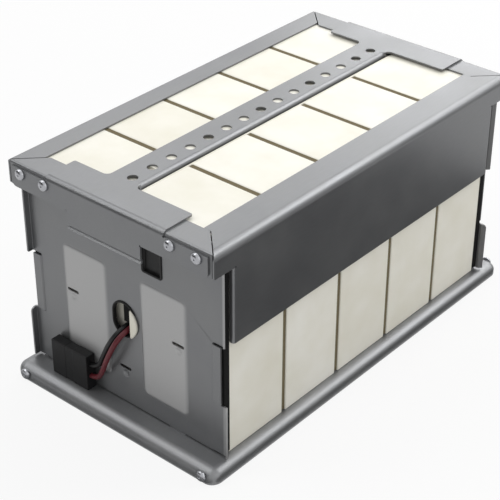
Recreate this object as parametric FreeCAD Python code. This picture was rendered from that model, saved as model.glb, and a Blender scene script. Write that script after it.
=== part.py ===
import FreeCAD, Part
import math
import os

# Rack battery module: a folded steel frame that holds ten sealed battery blocks on end,
# in two rows of five, with its two leads and their connector at the front.
# Millimetres. +Z is up, -Y is the front end with the connector, +X is to the right
# when the front is faced. The origin is at the middle of the footprint, on the floor.

V = FreeCAD.Vector

# Battery blocks
ROW_COUNT = 5            # blocks in a row
BLOCK_W = 93.0           # across the module
BLOCK_L = 64.0           # along the module
BLOCK_H = 183.5
BLOCK_EDGE = 1.6         # moulded edges of a block, drawn as chamfers
BLOCK_GAP = 2.0          # air between two blocks of a row
CHANNEL_W = 9.0          # wiring channel between the rows

# Sheet steel
SHEET = 1.5              # frame parts
TRAY_SHEET = 1.2
BEND_R = 1.6             # inside radius of a plain fold
WIDE_BEND_R = 3.0        # inside radius of the long side folds

# Base tray
TRAY_H = 12.0            # floor to the face that carries the blocks
TRAY_SIDE_MARGIN = 10.0  # block side to the outside of the tray
TRAY_END_MARGIN = 27.0   # last block to the outside of the tray
TRAY_ROLL_R = 5.8        # rolled long edges
TRAY_LIP_BEND_R = 3.6    # outside bend of the short lips
TRAY_CORNER_R = 6.0
TRAY_RETURN = 8.0        # flat return under the rolled edge
TRAY_TAB = 17.0          # corner tab behind a short lip
TRAY_SCREW_INSET = 12.5  # from the tray's side

# End plates
PLATE_GAP = 4.0          # between the last block and an end plate, where the pads are
PLATE_TOP_INSET = 2.5    # top flanges inside the frame's sides
PLATE_LOW_INSET = 0.5    # foot flanges inside the frame's sides
PLATE_LIP_INSET = 5.5    # joggled middle lips inside the frame's sides
PLATE_LIP = 7.4          # width of a middle lip, from the middle of its joggle
PLATE_FLANGE = 8.0       # flange depth
PLATE_TOP_Z = (112.5, 176.5)
PLATE_MID_Z = (60.0, 110.0)
PLATE_LOW_Z = (12.8, 57.0)
PLATE_JOGGLE = 2.4
PLATE_FOOT_R = 4.0       # rounded upper corner of the foot flange
PLATE_TAB_W = 16.0       # foot tabs, through slots in the tray
PLATE_TAB_X = 52.0
PLATE_TAB_DROP = 4.0
PAD_X = (86.0, 97.2)     # foam pads between the plates and the blocks
PAD_Z = (14.0, 176.0)
PANEL_X = (18.4, 62.6)   # pressed panels
PANEL_Z = (32.0, 133.0)
PANEL_RISE = 0.5
LANCE_W = 12.0
LANCE_H = 2.0
LANCE_SIDE = (54.8, 93.5)
LANCE_MIDDLE = (-1.6, 46.0)
CABLE_HOLE_W = 20.8
CABLE_HOLE_Z = (72.0, 108.6)
SERVICE_HOLE_X = (21.0, 40.0)
SERVICE_HOLE_H = 27.0
SERVICE_HOLE_DROP = 24.5  # its upper edge below the plate's top
SERVICE_HOLE_R = 1.5

# Top frame
LEFT_FLANGE = 23.5
RIGHT_FLANGE = 29.0
FRAME_SIDE_MARGIN = 5.0  # block side to the outside of the frame
FRAME_END_MARGIN = 18.5  # last block to the outside of the frame
CROSS_FLANGE = 22.0
FRAME_LIP = 20.0         # depth of the lips at the ends
SKIRT = 84.0             # depth of the long skirts
SKIRT_INSET = 20.0       # skirt ends short of the frame's ends
SKIRT_RETURN = 4.3       # flange turned in at a skirt's end
MITRE_GAP = 0.5
CORNER_TAB = 15.0        # cross rail tab behind a side rail

# Hold-down bracket
STRIP_X = (-30.0, 3.6)
HEAD_X = (-61.0, 57.0)
HEAD_DEPTH = 30.5
HEAD_FILLET_R = 5.0
ARM_INSET = 4.5          # arm ends inside the frame's sides
ARM_DROP = 3.0           # top edge of an arm below the frame's top
ARM_CORNER_R = 4.0
APRON_X = (-40.0, 34.0)
APRON_DROP = 37.5        # lower edge of the apron below the bracket's top
HEM = 3.2                # folded lower edge of the apron
STRIP_WEB = 9.0          # folded edge of the strip, down into the channel
STRIP_FOLD_R = 1.2       # outside of that fold
STRIP_HOLES = 15
STRIP_HOLE_R = 4.2
STRIP_HOLE_PITCH = 20.6
STRIP_HOLE_X = -10.5
ARM_SCREWS = (10.0, 35.0)  # in from an arm's end
SCREW_DROP = 9.0         # arm screws below the bracket's top

# Thread-forming screws, drawn with twelve sides so that many of them stay light
SCREW_SIDES = 12
SCREW_R = 2.5
SCREW_CLEARANCE = 0.2
SCREW_HEAD_R = 4.6
SCREW_HEAD_H = 3.0
SCREW_HEAD_SIDE = 1.4    # straight side under the bevelled top
SCREW_END = 6.0          # thread past the sheets

# Terminals, links and leads
TERMINAL_W = 9.0         # moulded seat of a terminal, in the channel
TERMINAL_H = 1.2
TERMINAL_Z = 83.0
TERMINAL_OFFSET = 16.0   # from the middle of a block
LINK_T = 0.8
LINK_W = 7.0
LEAD_R = 2.1
LUG_BARREL = 4.4

# Connector
PLUG_X = (-74.5, -35.0)
PLUG_H = 32.0
PLUG_D = 9.4
PLUG_WALL = 1.7
PLUG_EDGE = 0.9
PLUG_MOUTH = 11.0
PLUG_POCKET = 7.0
PLUG_GAP = 0.3           # between the connector and the end plate
POCKET_CLEARANCE = 0.4
CONTACT_W = 3.6

# Edge trim of the cable hole and plug of the service hole
TRIM_LIP = 1.3
TRIM_WALL = 1.1
BLANK_RIM = 0.8
BLANK_DEPTH = 1.6

# Places worked out from the sizes above
PITCH = BLOCK_L + BLOCK_GAP
BLOCK_X0 = CHANNEL_W / 2
BLOCK_X1 = BLOCK_X0 + BLOCK_W
BLOCK_Y1 = (ROW_COUNT * BLOCK_L + (ROW_COUNT - 1) * BLOCK_GAP) / 2
BLOCK_TOP = TRAY_H + BLOCK_H
TRAY_HALF_W = BLOCK_X1 + TRAY_SIDE_MARGIN
TRAY_HALF_L = BLOCK_Y1 + TRAY_END_MARGIN
PLATE_BACK = BLOCK_Y1 + PLATE_GAP
PLATE_FRONT = PLATE_BACK + SHEET
FRAME_HALF_W = BLOCK_X1 + FRAME_SIDE_MARGIN
FRAME_HALF_L = BLOCK_Y1 + FRAME_END_MARGIN
SERVICE_HOLE_Z = (BLOCK_TOP - SERVICE_HOLE_DROP - SERVICE_HOLE_H, BLOCK_TOP - SERVICE_HOLE_DROP)
FRAME_TOP = BLOCK_TOP + SHEET
BRACKET_TOP = FRAME_TOP + SHEET
ARM_HALF_W = FRAME_HALF_W - ARM_INSET
PLATE_TOP_HALF_W = FRAME_HALF_W - PLATE_TOP_INSET
PLATE_LOW_HALF_W = FRAME_HALF_W - PLATE_LOW_INSET
PLATE_LIP_HALF_W = FRAME_HALF_W - PLATE_LIP_INSET
PLATE_JOGGLE_X = PLATE_LIP_HALF_W - PLATE_LIP
BRACKET_FACE = FRAME_HALF_L + SHEET
SCREW_Z = BRACKET_TOP - SCREW_DROP
TRAY_SCREW_X = TRAY_HALF_W - TRAY_SCREW_INSET
TRAY_SCREW_Z = TRAY_H / 2
PLUG_Z = (TRAY_H, TRAY_H + PLUG_H)
PLUG_BACK = -(PLATE_FRONT + PANEL_RISE + PLUG_GAP)
PLUG_FRONT = PLUG_BACK - PLUG_D
PLUG_MID_Y = (PLUG_BACK + PLUG_FRONT) / 2

# Routes of the leads: from the lug in the channel, out through the cable hole, down
# in front of the end plate and into the connector's end.
RED_ROUTE = [
    (2.25, -157.0, 83.0),
    (2.25, -168.0, 83.0),
    (-0.8, -178.4, 76.2),
    (-9.4, -180.9, 57.0),
    (-17.4, -179.0, 40.0),
    (-24.6, -176.2, 28.9),
    (-32.3, -175.0, 24.5),
    (-41.0, -175.0, 24.5),
]
BLACK_ROUTE = [
    (-2.25, -157.0, 83.0),
    (-2.25, -166.9, 83.0),
    (-5.4, -175.6, 76.8),
    (-11.4, -177.4, 66.0),
    (-17.4, -176.8, 54.0),
    (-22.8, -175.6, 42.8),
    (-27.6, -175.1, 37.6),
    (-34.6, -175.0, 35.0),
    (-41.0, -175.0, 35.0),
]


# Sheet sections

def offset_path(path, distance):
    """Move an open line of points to its left by a distance."""
    normals = []
    for (u0, v0), (u1, v1) in zip(path, path[1:]):
        length = math.hypot(u1 - u0, v1 - v0)
        normals.append((-(v1 - v0) / length, (u1 - u0) / length))
    moved = []
    for index, (u, v) in enumerate(path):
        before = normals[max(index - 1, 0)]
        after = normals[min(index, len(normals) - 1)]
        share = distance / (1 + before[0] * after[0] + before[1] * after[1])
        moved.append((u + share * (before[0] + after[0]), v + share * (before[1] + after[1])))
    return moved


def rounded_face(points, radii, place):
    """Closed outline with a radius at each point; place turns (u, v) into a vector."""
    edges = []
    count = len(points)
    ends = []
    for index, (u, v) in enumerate(points):
        corner = V(u, v, 0)
        before = V(*points[index - 1], 0) - corner
        after = V(*points[(index + 1) % count], 0) - corner
        before.normalize()
        after.normalize()
        half = before.getAngle(after) / 2
        radius = radii[index]
        if radius <= 0:
            ends.append((corner, None, corner))
            continue
        reach = radius / math.tan(half)
        inward = before + after
        inward.normalize()
        middle = corner + inward * (radius / math.sin(half) - radius)
        ends.append((corner + before * reach, middle, corner + after * reach))
    for index, (start, middle, stop) in enumerate(ends):
        if middle is not None:
            arc = [place(p.x, p.y) for p in (start, middle, stop)]
            edges.append(Part.Arc(*arc).toShape())
        following = ends[(index + 1) % count][0]
        if stop.distanceToPoint(following) > 1e-6:
            line = [place(p.x, p.y) for p in (stop, following)]
            edges.append(Part.makeLine(*line))
    return Part.Face(Part.Wire(edges))


PLACES = {
    "X": (lambda u, v, at: V(at, u, v), V(1, 0, 0)),
    "Y": (lambda u, v, at: V(u, at, v), V(0, 1, 0)),
    "Z": (lambda u, v, at: V(u, v, at), V(0, 0, 1)),
}


def prism(points, radii, along, start, stop):
    """Outline drawn square to an axis and drawn out between two places on it."""
    place, direction = PLACES[along]
    face = rounded_face(points, radii, lambda u, v: place(u, v, start))
    return face.extrude(direction * (stop - start))


def folded(path, along, start, stop, bend=BEND_R, thickness=SHEET):
    """Folded sheet: path is one face of it, and the sheet lies to the left of it."""
    other = offset_path(path, thickness)
    outer = [0.0]
    inner = [0.0]
    for a, b, c in zip(path, path[1:], path[2:]):
        turn = (b[0] - a[0]) * (c[1] - b[1]) - (b[1] - a[1]) * (c[0] - b[0])
        outer.append(bend + thickness if turn > 0 else bend)
        inner.append(bend if turn > 0 else bend + thickness)
    outer.append(0.0)
    inner.append(0.0)
    return prism(path + other[::-1], outer + inner[::-1], along, start, stop)


def box(x, y, z):
    """Box between two places on each axis."""
    return Part.makeBox(x[1] - x[0], y[1] - y[0], z[1] - z[0], V(x[0], y[0], z[0]))


def rectangle(u, v):
    return [(u[0], v[0]), (u[1], v[0]), (u[1], v[1]), (u[0], v[1])]


def rounded_block(u, v, radius, along, start, stop):
    return prism(rectangle(u, v), [radius] * 4, along, start, stop)


def obround(half_w, z, along_start, along_stop):
    """Upright slot with round ends, through a plate that faces along Y."""
    u = (-half_w, half_w)
    return prism(rectangle(u, z), [half_w - 0.001] * 4, "Y", along_start, along_stop)


def turned(shape, degrees=180):
    """Copy turned about the upright axis, for what is alike at the rear."""
    copy = shape.copy()
    copy.rotate(V(0, 0, 0), V(0, 0, 1), degrees)
    return copy


def mirrored(shape, normal):
    return shape.mirror(V(0, 0, 0), normal)


def fused(shapes):
    return shapes[0].fuse(shapes[1:]).removeSplitter()


# Base tray

def tray_envelope(inset):
    """Outside of the tray, moved inwards: rolled long edges, bent short lips."""
    half_w = TRAY_HALF_W - inset
    half_l = TRAY_HALF_L - inset
    top = TRAY_H - inset
    roll = TRAY_ROLL_R - inset
    across = rectangle((-half_w, half_w), (inset, top))
    below = inset - 2.0 if inset else 0.0
    length = rectangle((-half_l, half_l), (below, top))
    lip = TRAY_LIP_BEND_R - inset
    corner = TRAY_CORNER_R - inset
    shape = prism(across, [roll] * 4, "Y", -half_l, half_l)
    shape = shape.common(prism(length, [0.0, 0.0, lip, lip], "X", -half_w, half_w))
    plan = rounded_block((-half_w, half_w), (-half_l, half_l), corner, "Z", -1.0, TRAY_H)
    return shape.common(plan)


def base_tray():
    inside = tray_envelope(TRAY_SHEET)
    mouth_x = TRAY_HALF_W - TRAY_ROLL_R - TRAY_RETURN
    mouth_y = TRAY_HALF_L - TRAY_SHEET
    mouth = box((-mouth_x, mouth_x), (-mouth_y, mouth_y), (-1.0, TRAY_H / 2))
    shape = tray_envelope(0.0).cut([inside, mouth])
    tabs = []
    cuts = []
    tab_y = TRAY_HALF_L - TRAY_SHEET
    for side in (-1, 1):
        for end in (-1, 1):
            x = sorted((side * (TRAY_HALF_W - TRAY_TAB), side * TRAY_HALF_W))
            y = sorted((end * tab_y, end * (tab_y - TRAY_SHEET)))
            tabs.append(box(x, y, (TRAY_SHEET, TRAY_H)).common(inside))
            cuts.append(end_hole(side * TRAY_SCREW_X, TRAY_SCREW_Z, end * tab_y))
            slot_x = (side * PLATE_TAB_X - PLATE_TAB_W / 2, side * PLATE_TAB_X + PLATE_TAB_W / 2)
            slot_y = sorted((end * PLATE_BACK, end * PLATE_FRONT))
            cuts.append(box(slot_x, slot_y, (TRAY_H / 2, TRAY_H + 1.0)))
    return fused([shape] + tabs).cut(cuts)


# Screws, which all lie along Y

def screw_prism(x, z, radius, start, stop):
    """Twelve-sided bar along Y, for a screw and for the hole it goes through."""
    step = 2 * math.pi / SCREW_SIDES
    points = [
        (x + radius * math.cos(index * step), z + radius * math.sin(index * step))
        for index in range(SCREW_SIDES)
    ]
    return prism(points, [0.0] * SCREW_SIDES, "Y", start, stop)


def end_hole(x, z, y):
    """Screw hole through the sheets that face along Y near a place."""
    depth = 3 * SHEET
    return screw_prism(x, z, SCREW_R + SCREW_CLEARANCE, y - depth, y + depth)


def screw(x, z, face, grip):
    """Pan head screw at the front; face is the surface under its head."""
    top = face - SCREW_HEAD_H
    head = screw_prism(x, z, SCREW_HEAD_R, top, face)
    rim = [edge for edge in head.Edges if abs(edge.BoundBox.YMax - top) < 1e-6]
    head = head.makeChamfer(SCREW_HEAD_H - SCREW_HEAD_SIDE, rim)
    return fused([head, screw_prism(x, z, SCREW_R, face, face + grip + SCREW_END)])


def row_of(maker, places):
    return Part.makeCompound([maker(*place) for place in places])


FRAME_SCREWS = [
    (side * (ARM_HALF_W - inset), SCREW_Z) for side in (-1, 1) for inset in ARM_SCREWS
]
TRAY_SCREWS = [(side * TRAY_SCREW_X, TRAY_SCREW_Z) for side in (-1, 1)]


def frame_screws():
    return row_of(lambda x, z: screw(x, z, -BRACKET_FACE, 2 * SHEET), FRAME_SCREWS)


def tray_screws():
    return row_of(lambda x, z: screw(x, z, -TRAY_HALF_L, 2 * TRAY_SHEET), TRAY_SCREWS)


# Battery blocks

def block_middle(index):
    """Place of a block along the module; index counts from the front."""
    return (index - (ROW_COUNT - 1) / 2) * PITCH


def block(side, index):
    """Sealed block; side is -1 for the left row."""
    middle = block_middle(index)
    x = sorted((side * BLOCK_X0, side * BLOCK_X1))
    y = (middle - BLOCK_L / 2, middle + BLOCK_L / 2)
    shape = box(x, y, (TRAY_H, BLOCK_TOP))
    return shape.makeChamfer(BLOCK_EDGE, shape.Edges)


# Terminals and wiring in the channel between the rows

def terminal_places():
    """Places of the terminals of one row, from front to rear."""
    places = []
    for index in range(ROW_COUNT):
        middle = block_middle(index)
        places += [middle - TERMINAL_OFFSET, middle + TERMINAL_OFFSET]
    return places


def channel_bar(side, y, width, start, height):
    """Flat bar that lies along a block's inner face, a little way into the channel."""
    x = sorted((side * (BLOCK_X0 - start), side * (BLOCK_X0 - start - height)))
    return box(x, y, (TERMINAL_Z - width / 2, TERMINAL_Z + width / 2))


def terminal_seats(side):
    half = TERMINAL_W / 2
    return Part.makeCompound(
        [
            channel_bar(side, (y - half, y + half), TERMINAL_W, 0.0, TERMINAL_H)
            for y in terminal_places()
        ]
    )


def row_links(side):
    """Flat links from each block's rear terminal to the next block's front terminal."""
    places = terminal_places()
    half = LINK_W / 2
    return Part.makeCompound(
        [
            channel_bar(side, (start - half, stop + half), LINK_W, TERMINAL_H, LINK_T)
            for start, stop in zip(places[1:-1:2], places[2:-1:2])
        ]
    )


def rear_cross_link():
    """Bar between the last terminals of the two rows."""
    half = BLOCK_X0 - TERMINAL_H
    y = terminal_places()[-1]
    z = (TERMINAL_Z - LINK_W / 2, TERMINAL_Z + LINK_W / 2)
    return box((-half, half), (y - LINK_W / 2, y + LINK_W / 2), z)


def lead_lug(side, route):
    """Flat lug on a front terminal, with its barrel forward onto the lead."""
    x, y, z = route[0]
    terminal = terminal_places()[0]
    tip = y + LUG_BARREL
    reach = sorted((tip - 1.0, terminal + LINK_W / 2))
    palm = channel_bar(side, reach, LEAD_R * 2, TERMINAL_H, LINK_T)
    barrel = Part.makeCylinder(LEAD_R, LUG_BARREL, V(x, y, z), V(0, 1, 0))
    return fused([palm, barrel])


# End plate, modelled at the front

def side_flange(half, z, corner_r=0.0):
    """Flanges at both sides of the plate, turned forward, over one height."""
    tip = -(PLATE_BACK + PLATE_FLANGE)
    path = [(-half, tip), (-half, -PLATE_BACK), (half, -PLATE_BACK), (half, tip)]
    shape = folded(path[::-1], "Z", *z)
    if corner_r:
        tops = [
            edge
            for edge in shape.Edges
            if abs(edge.BoundBox.YMin - tip) < 1e-6
            and edge.BoundBox.XLength > SHEET / 2
            and abs(edge.BoundBox.ZMax - z[1]) < 1e-6
        ]
        shape = shape.makeFillet(corner_r, tops)
    return shape


def joggled_lips(z):
    """Lips at both sides, stepped forward beside the first blocks."""
    half = PLATE_LIP_HALF_W
    back = -PLATE_BACK
    step = back - PLATE_JOGGLE
    knee = PLATE_JOGGLE_X
    path = [
        (half, step),
        (knee + PLATE_JOGGLE / 2, step),
        (knee - PLATE_JOGGLE / 2, back),
        (PLATE_TAB_X, back),
    ]
    right = folded(path, "Z", *z, bend=BEND_R / 2)
    return [right, mirrored(right, V(1, 0, 0))]


def pressed_panel(side, face):
    """Solid that is added in front of the sheet, or cut from its back, for a panel."""
    x = sorted((side * PANEL_X[0], side * PANEL_X[1]))
    return box(x, (face - PANEL_RISE, face), PANEL_Z)


def lance(x, z):
    """Slot of a lanced tie point."""
    y = (-PLATE_FRONT - 1.0, 1.0 - PLATE_BACK)
    return box((x - LANCE_W / 2, x + LANCE_W / 2), y, (z - LANCE_H / 2, z + LANCE_H / 2))


def plate_blank():
    """End plate without the openings that only the front one has."""
    front = -PLATE_FRONT
    web_x = PLATE_JOGGLE_X - PLATE_JOGGLE / 2
    web = box((-web_x, web_x), (front, -PLATE_BACK), (TRAY_H, BLOCK_TOP))
    parts = [web, side_flange(PLATE_TOP_HALF_W, PLATE_TOP_Z)]
    parts.append(side_flange(PLATE_LOW_HALF_W, PLATE_LOW_Z, PLATE_FOOT_R))
    parts += joggled_lips(PLATE_MID_Z)
    for side in (-1, 1):
        parts.append(pressed_panel(side, front))
        x = (side * PLATE_TAB_X - PLATE_TAB_W / 2, side * PLATE_TAB_X + PLATE_TAB_W / 2)
        parts.append(box(x, (front, -PLATE_BACK), (TRAY_H - PLATE_TAB_DROP, TRAY_H)))
    cuts = [lance(*LANCE_MIDDLE)]
    for side in (-1, 1):
        cuts.append(pressed_panel(side, -PLATE_BACK))
        cuts.append(lance(side * LANCE_SIDE[0], LANCE_SIDE[1]))
    return fused(parts).cut(cuts)


def service_hole(grow=0.0, start=-PLATE_FRONT - 1.0, stop=-PLATE_BACK + 1.0):
    x = (SERVICE_HOLE_X[0] - grow, SERVICE_HOLE_X[1] + grow)
    z = (SERVICE_HOLE_Z[0] - grow, SERVICE_HOLE_Z[1] + grow)
    return rounded_block(x, z, SERVICE_HOLE_R, "Y", start, stop)


def cable_hole(grow=0.0, start=-PLATE_FRONT - 1.0, stop=-PLATE_BACK + 1.0):
    z = (CABLE_HOLE_Z[0] - grow, CABLE_HOLE_Z[1] + grow)
    return obround(CABLE_HOLE_W / 2 + grow, z, start, stop)


def front_end_plate():
    return plate_blank().cut([cable_hole(), service_hole()])


def rear_end_plate():
    return turned(plate_blank())


def edge_pads():
    """Foam pads that keep the first blocks off the end plate, near both its sides."""
    y = (-PLATE_BACK, -BLOCK_Y1)
    right = box(PAD_X, y, PAD_Z)
    return Part.makeCompound([right, mirrored(right, V(1, 0, 0))])


def hole_edge_trim():
    """Rubber edging: a slotted ring that grips the sheet round the cable hole."""
    front = -PLATE_FRONT
    back = -PLATE_BACK
    ring = cable_hole(TRIM_LIP, front - TRIM_WALL, back + TRIM_WALL)
    grip = cable_hole(TRIM_LIP + 1.0, front, back).cut(cable_hole(0.0, front, back))
    passage = cable_hole(-TRIM_WALL, front - TRIM_WALL, back + TRIM_WALL)
    return ring.cut([grip, passage])


def service_hole_plug():
    """Dished plug with a rim in front of the sheet and a snap body in the hole."""
    front = -PLATE_FRONT
    rim = service_hole(BLANK_RIM, front - BLANK_RIM, front)
    body = service_hole(0.0, front, -PLATE_BACK)
    dish_x = (SERVICE_HOLE_X[0] + BLANK_RIM, SERVICE_HOLE_X[1] - BLANK_RIM)
    dish_z = (SERVICE_HOLE_Z[0] + BLANK_RIM, SERVICE_HOLE_Z[1] - BLANK_RIM)
    dish = box(dish_x, (front - BLANK_RIM, front - BLANK_RIM + BLANK_DEPTH), dish_z)
    return fused([rim, body]).cut(dish)


# Top frame

def side_rail(flange):
    """Right-hand rail: top flange, long skirt with turned-in ends, and mitred corners."""
    half_w = FRAME_HALF_W
    half_l = FRAME_HALF_L
    foot = FRAME_TOP - SKIRT
    path = [(half_w, foot), (half_w, FRAME_TOP), (half_w - flange, FRAME_TOP)]
    rail = folded(path, "Y", -half_l, half_l, bend=WIDE_BEND_R)
    lip = FRAME_TOP - FRAME_LIP
    ends = []
    reach = CROSS_FLANGE
    skirt_l = half_l - SKIRT_INSET
    for end in (-1, 1):
        y = sorted((end * skirt_l, end * (half_l + 1.0)))
        ends.append(box((half_w - SHEET - 1.0, half_w + 1.0), y, (foot - 1.0, lip)))
        inner = half_l - reach
        corner = [
            (half_w + MITRE_GAP, end * (half_l + MITRE_GAP)),
            (half_w - reach, end * inner),
            (half_w - flange - 1.0, end * inner),
            (half_w - flange - 1.0, end * (half_l + MITRE_GAP)),
        ]
        ends.append(prism(corner, [0.0] * 4, "Z", lip - 1.0, FRAME_TOP + 1.0))
    returns = []
    for end in (-1, 1):
        y = sorted((end * skirt_l, end * (skirt_l - SHEET)))
        returns.append(box((half_w - SKIRT_RETURN, half_w - SHEET), y, (foot, lip)))
    return fused([rail.cut(ends)] + returns)


def cross_rail():
    """Front rail: top flange, front lip and tabs behind the side rails."""
    half_w = FRAME_HALF_W
    half_l = FRAME_HALF_L
    lip = FRAME_TOP - FRAME_LIP
    path = [(-half_l, lip), (-half_l, FRAME_TOP), (CROSS_FLANGE - half_l, FRAME_TOP)]
    inner_w = half_w - SHEET - MITRE_GAP / 2
    rail = folded(path[::-1], "X", -half_w, half_w)
    cuts = []
    for side in (-1, 1):
        reach = CROSS_FLANGE + 1.0
        corner = [
            (side * (half_w + 1.0), -half_l),
            (side * (half_w + 1.0), reach - half_l),
            (side * (half_w - reach - MITRE_GAP), reach - half_l),
            (side * (half_w - MITRE_GAP), -half_l),
        ]
        cuts.append(prism(corner, [0.0] * 4, "Z", FRAME_TOP - SHEET - 0.2, FRAME_TOP + 1.0))
        x = sorted((side * inner_w, side * (half_w + 1.0)))
        cuts.append(box(x, (-half_l - 1.0, -half_l + CROSS_FLANGE + 1.0), (lip - 1, FRAME_TOP)))
    rail = rail.cut(cuts)
    tabs = []
    for side in (-1, 1):
        x = sorted((side * inner_w, side * (inner_w - SHEET)))
        y = (-half_l, CORNER_TAB - half_l)
        tabs.append(box(x, y, (lip, FRAME_TOP - SHEET - WIDE_BEND_R)))
    return fused([rail] + tabs).cut([end_hole(x, z, -half_l) for x, z in FRAME_SCREWS])


# Hold-down bracket

def bracket_outline(half):
    """Flat pattern seen from above: strip between the two heads."""
    inner = half - HEAD_DEPTH
    points = [
        (HEAD_X[0], -half), (HEAD_X[1], -half), (HEAD_X[1], -inner), (STRIP_X[1], -inner),
        (STRIP_X[1], inner), (HEAD_X[1], inner), (HEAD_X[1], half), (HEAD_X[0], half),
        (HEAD_X[0], inner), (STRIP_X[0], inner), (STRIP_X[0], -inner), (HEAD_X[0], -inner),
    ]
    soft = HEAD_FILLET_R
    radii = [0.0, 0.0, 0.0, soft, soft, 0.0, 0.0, 0.0, 0.0, soft, soft, 0.0]
    return points, radii


def bracket_face(start, stop):
    """Arms and apron, seen from the front."""
    top = FRAME_TOP - ARM_DROP
    foot = FRAME_TOP - FRAME_LIP
    apron = BRACKET_TOP - APRON_DROP
    head = BRACKET_TOP + 1.0
    points = [
        (-ARM_HALF_W, foot), (APRON_X[0], foot), (APRON_X[0], apron), (APRON_X[1], apron),
        (APRON_X[1], foot), (ARM_HALF_W, foot), (ARM_HALF_W, top), (HEAD_X[1], top),
        (HEAD_X[1], head), (HEAD_X[0], head), (HEAD_X[0], top), (-ARM_HALF_W, top),
    ]
    radii = [ARM_CORNER_R, 0, 0, 0, 0, ARM_CORNER_R, 0, 0, 0, 0, 0, 0]
    return prism(points, radii, "Y", start, stop)


def strip_web():
    """Long edge of the strip, folded down into the channel between the rows."""
    half = BRACKET_FACE - HEAD_DEPTH - HEAD_FILLET_R
    x = (STRIP_X[1] - SHEET, STRIP_X[1])
    return box(x, (-half, half), (BRACKET_TOP - STRIP_WEB, BRACKET_TOP))


def hem(end):
    """Lower edge of an apron, folded back flat on itself."""
    low = BRACKET_TOP - APRON_DROP
    y = sorted((end * FRAME_HALF_L, end * (FRAME_HALF_L - SHEET)))
    return box((APRON_X[0] + 1.0, APRON_X[1] - 1.0), y, (low, low + HEM))


def hold_down_bracket():
    """One folded sheet: perforated strip, wide heads, and arms and aprons at both ends."""
    face = BRACKET_FACE
    beyond = face + 1.0
    low = BRACKET_TOP - APRON_DROP
    path = [(face, low), (face, BRACKET_TOP), (-face, BRACKET_TOP), (-face, low)]
    body = folded(path, "X", -ARM_HALF_W, ARM_HALF_W, bend=WIDE_BEND_R)
    fold_y = FRAME_HALF_L - WIDE_BEND_R
    flat = body.common(box((-beyond, beyond), (-fold_y, fold_y), (low, BRACKET_TOP)))
    pieces = [flat.common(prism(*bracket_outline(beyond), "Z", low, BRACKET_TOP)), strip_web()]
    for end in (-1, 1):
        pieces.append(body.common(bracket_face(*sorted((end * fold_y, end * beyond)))))
        pieces.append(hem(end))
    bracket = fused(pieces)
    fold = [
        edge
        for edge in bracket.Edges
        if abs(edge.BoundBox.XMin - STRIP_X[1]) < 1e-6
        and edge.BoundBox.XLength < 1e-6
        and abs(edge.BoundBox.ZMin - BRACKET_TOP) < 1e-6
        and edge.BoundBox.YLength > face
    ]
    return bracket.makeFillet(STRIP_FOLD_R, fold).cut(bracket_cuts())


def bracket_cuts():
    cuts = []
    for index in range(STRIP_HOLES):
        y = (index - (STRIP_HOLES - 1) / 2) * STRIP_HOLE_PITCH
        centre = V(STRIP_HOLE_X, y, BRACKET_TOP - 3 * SHEET)
        cuts.append(Part.makeCylinder(STRIP_HOLE_R, 5 * SHEET, centre))
    for end in (-1, 1):
        for x, z in FRAME_SCREWS:
            cuts.append(end_hole(x, z, end * BRACKET_FACE))
    return cuts


# Connector

def connector_housing():
    """Flat two-pole housing on the tray, with a mouth at one end and wire pockets."""
    shape = box(PLUG_X, (PLUG_FRONT, PLUG_BACK), PLUG_Z)
    shape = shape.makeChamfer(PLUG_EDGE, shape.Edges)
    wall = PLUG_WALL
    mouth = box(
        (PLUG_X[0] - 1.0, PLUG_X[0] + PLUG_MOUTH),
        (PLUG_FRONT + wall, PLUG_BACK - wall),
        (PLUG_Z[0] + wall, PLUG_Z[1] - wall),
    )
    cuts = [mouth]
    for route in (RED_ROUTE, BLACK_ROUTE):
        stop = PLUG_X[1] - PLUG_POCKET
        mouth_middle = V(stop, PLUG_MID_Y, route[-1][2])
        pocket_r = LEAD_R + POCKET_CLEARANCE
        cuts.append(Part.makeCylinder(pocket_r, PLUG_POCKET + 1.0, mouth_middle, V(1, 0, 0)))
        cuts.append(contact_bar(route, CONTACT_W, PLUG_X[0] + PLUG_MOUTH, stop))
    return shape.cut(cuts)


def contact_bar(route, height, start, stop):
    """Bar along a contact's line through the housing."""
    y = (PLUG_MID_Y - CONTACT_W / 2, PLUG_MID_Y + CONTACT_W / 2)
    z = (route[-1][2] - height / 2, route[-1][2] + height / 2)
    return box((start, stop), y, z)


def connector_contacts():
    """Two contacts from the leads' ends, each with a flat tongue in the mouth."""
    contacts = []
    for route in (RED_ROUTE, BLACK_ROUTE):
        root = PLUG_X[0] + PLUG_MOUTH
        body = contact_bar(route, CONTACT_W, root, route[-1][0])
        tongue = contact_bar(route, CONTACT_W * 1.6, PLUG_X[0] + PLUG_WALL, root)
        slit = (PLUG_MID_Y - 1.0, PLUG_MID_Y + 1.0)
        tongue = tongue.common(box(PLUG_X, slit, PLUG_Z))
        contacts.append(fused([body, tongue]))
    return Part.makeCompound(contacts)


# Leads

def route_wire(name, points):
    """Straight runs joined by tangent arcs, each as large as its two runs allow."""
    corners = [V(*point) for point in points]
    edges = []
    start = corners[0]
    radii = []
    for before, corner, after in zip(corners, corners[1:], corners[2:]):
        back = before - corner
        ahead = after - corner
        reach = 0.45 * min(back.Length, ahead.Length)
        half_turn = (math.pi - back.getAngle(ahead)) / 2
        radius = reach / math.tan(half_turn)
        radii.append(radius)
        back.normalize()
        ahead.normalize()
        inward = back + ahead
        inward.normalize()
        middle = corner + inward * (radius / math.cos(half_turn) - radius)
        stop = corner + back * reach
        edges.append(Part.LineSegment(start, stop).toShape())
        edges.append(Part.Arc(stop, middle, corner + ahead * reach).toShape())
        start = corner + ahead * reach
    edges.append(Part.LineSegment(start, corners[-1]).toShape())
    wire = Part.Wire(edges)
    print(name, "length", round(wire.Length, 1), "radii", [round(r, 1) for r in radii])
    return wire


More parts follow.
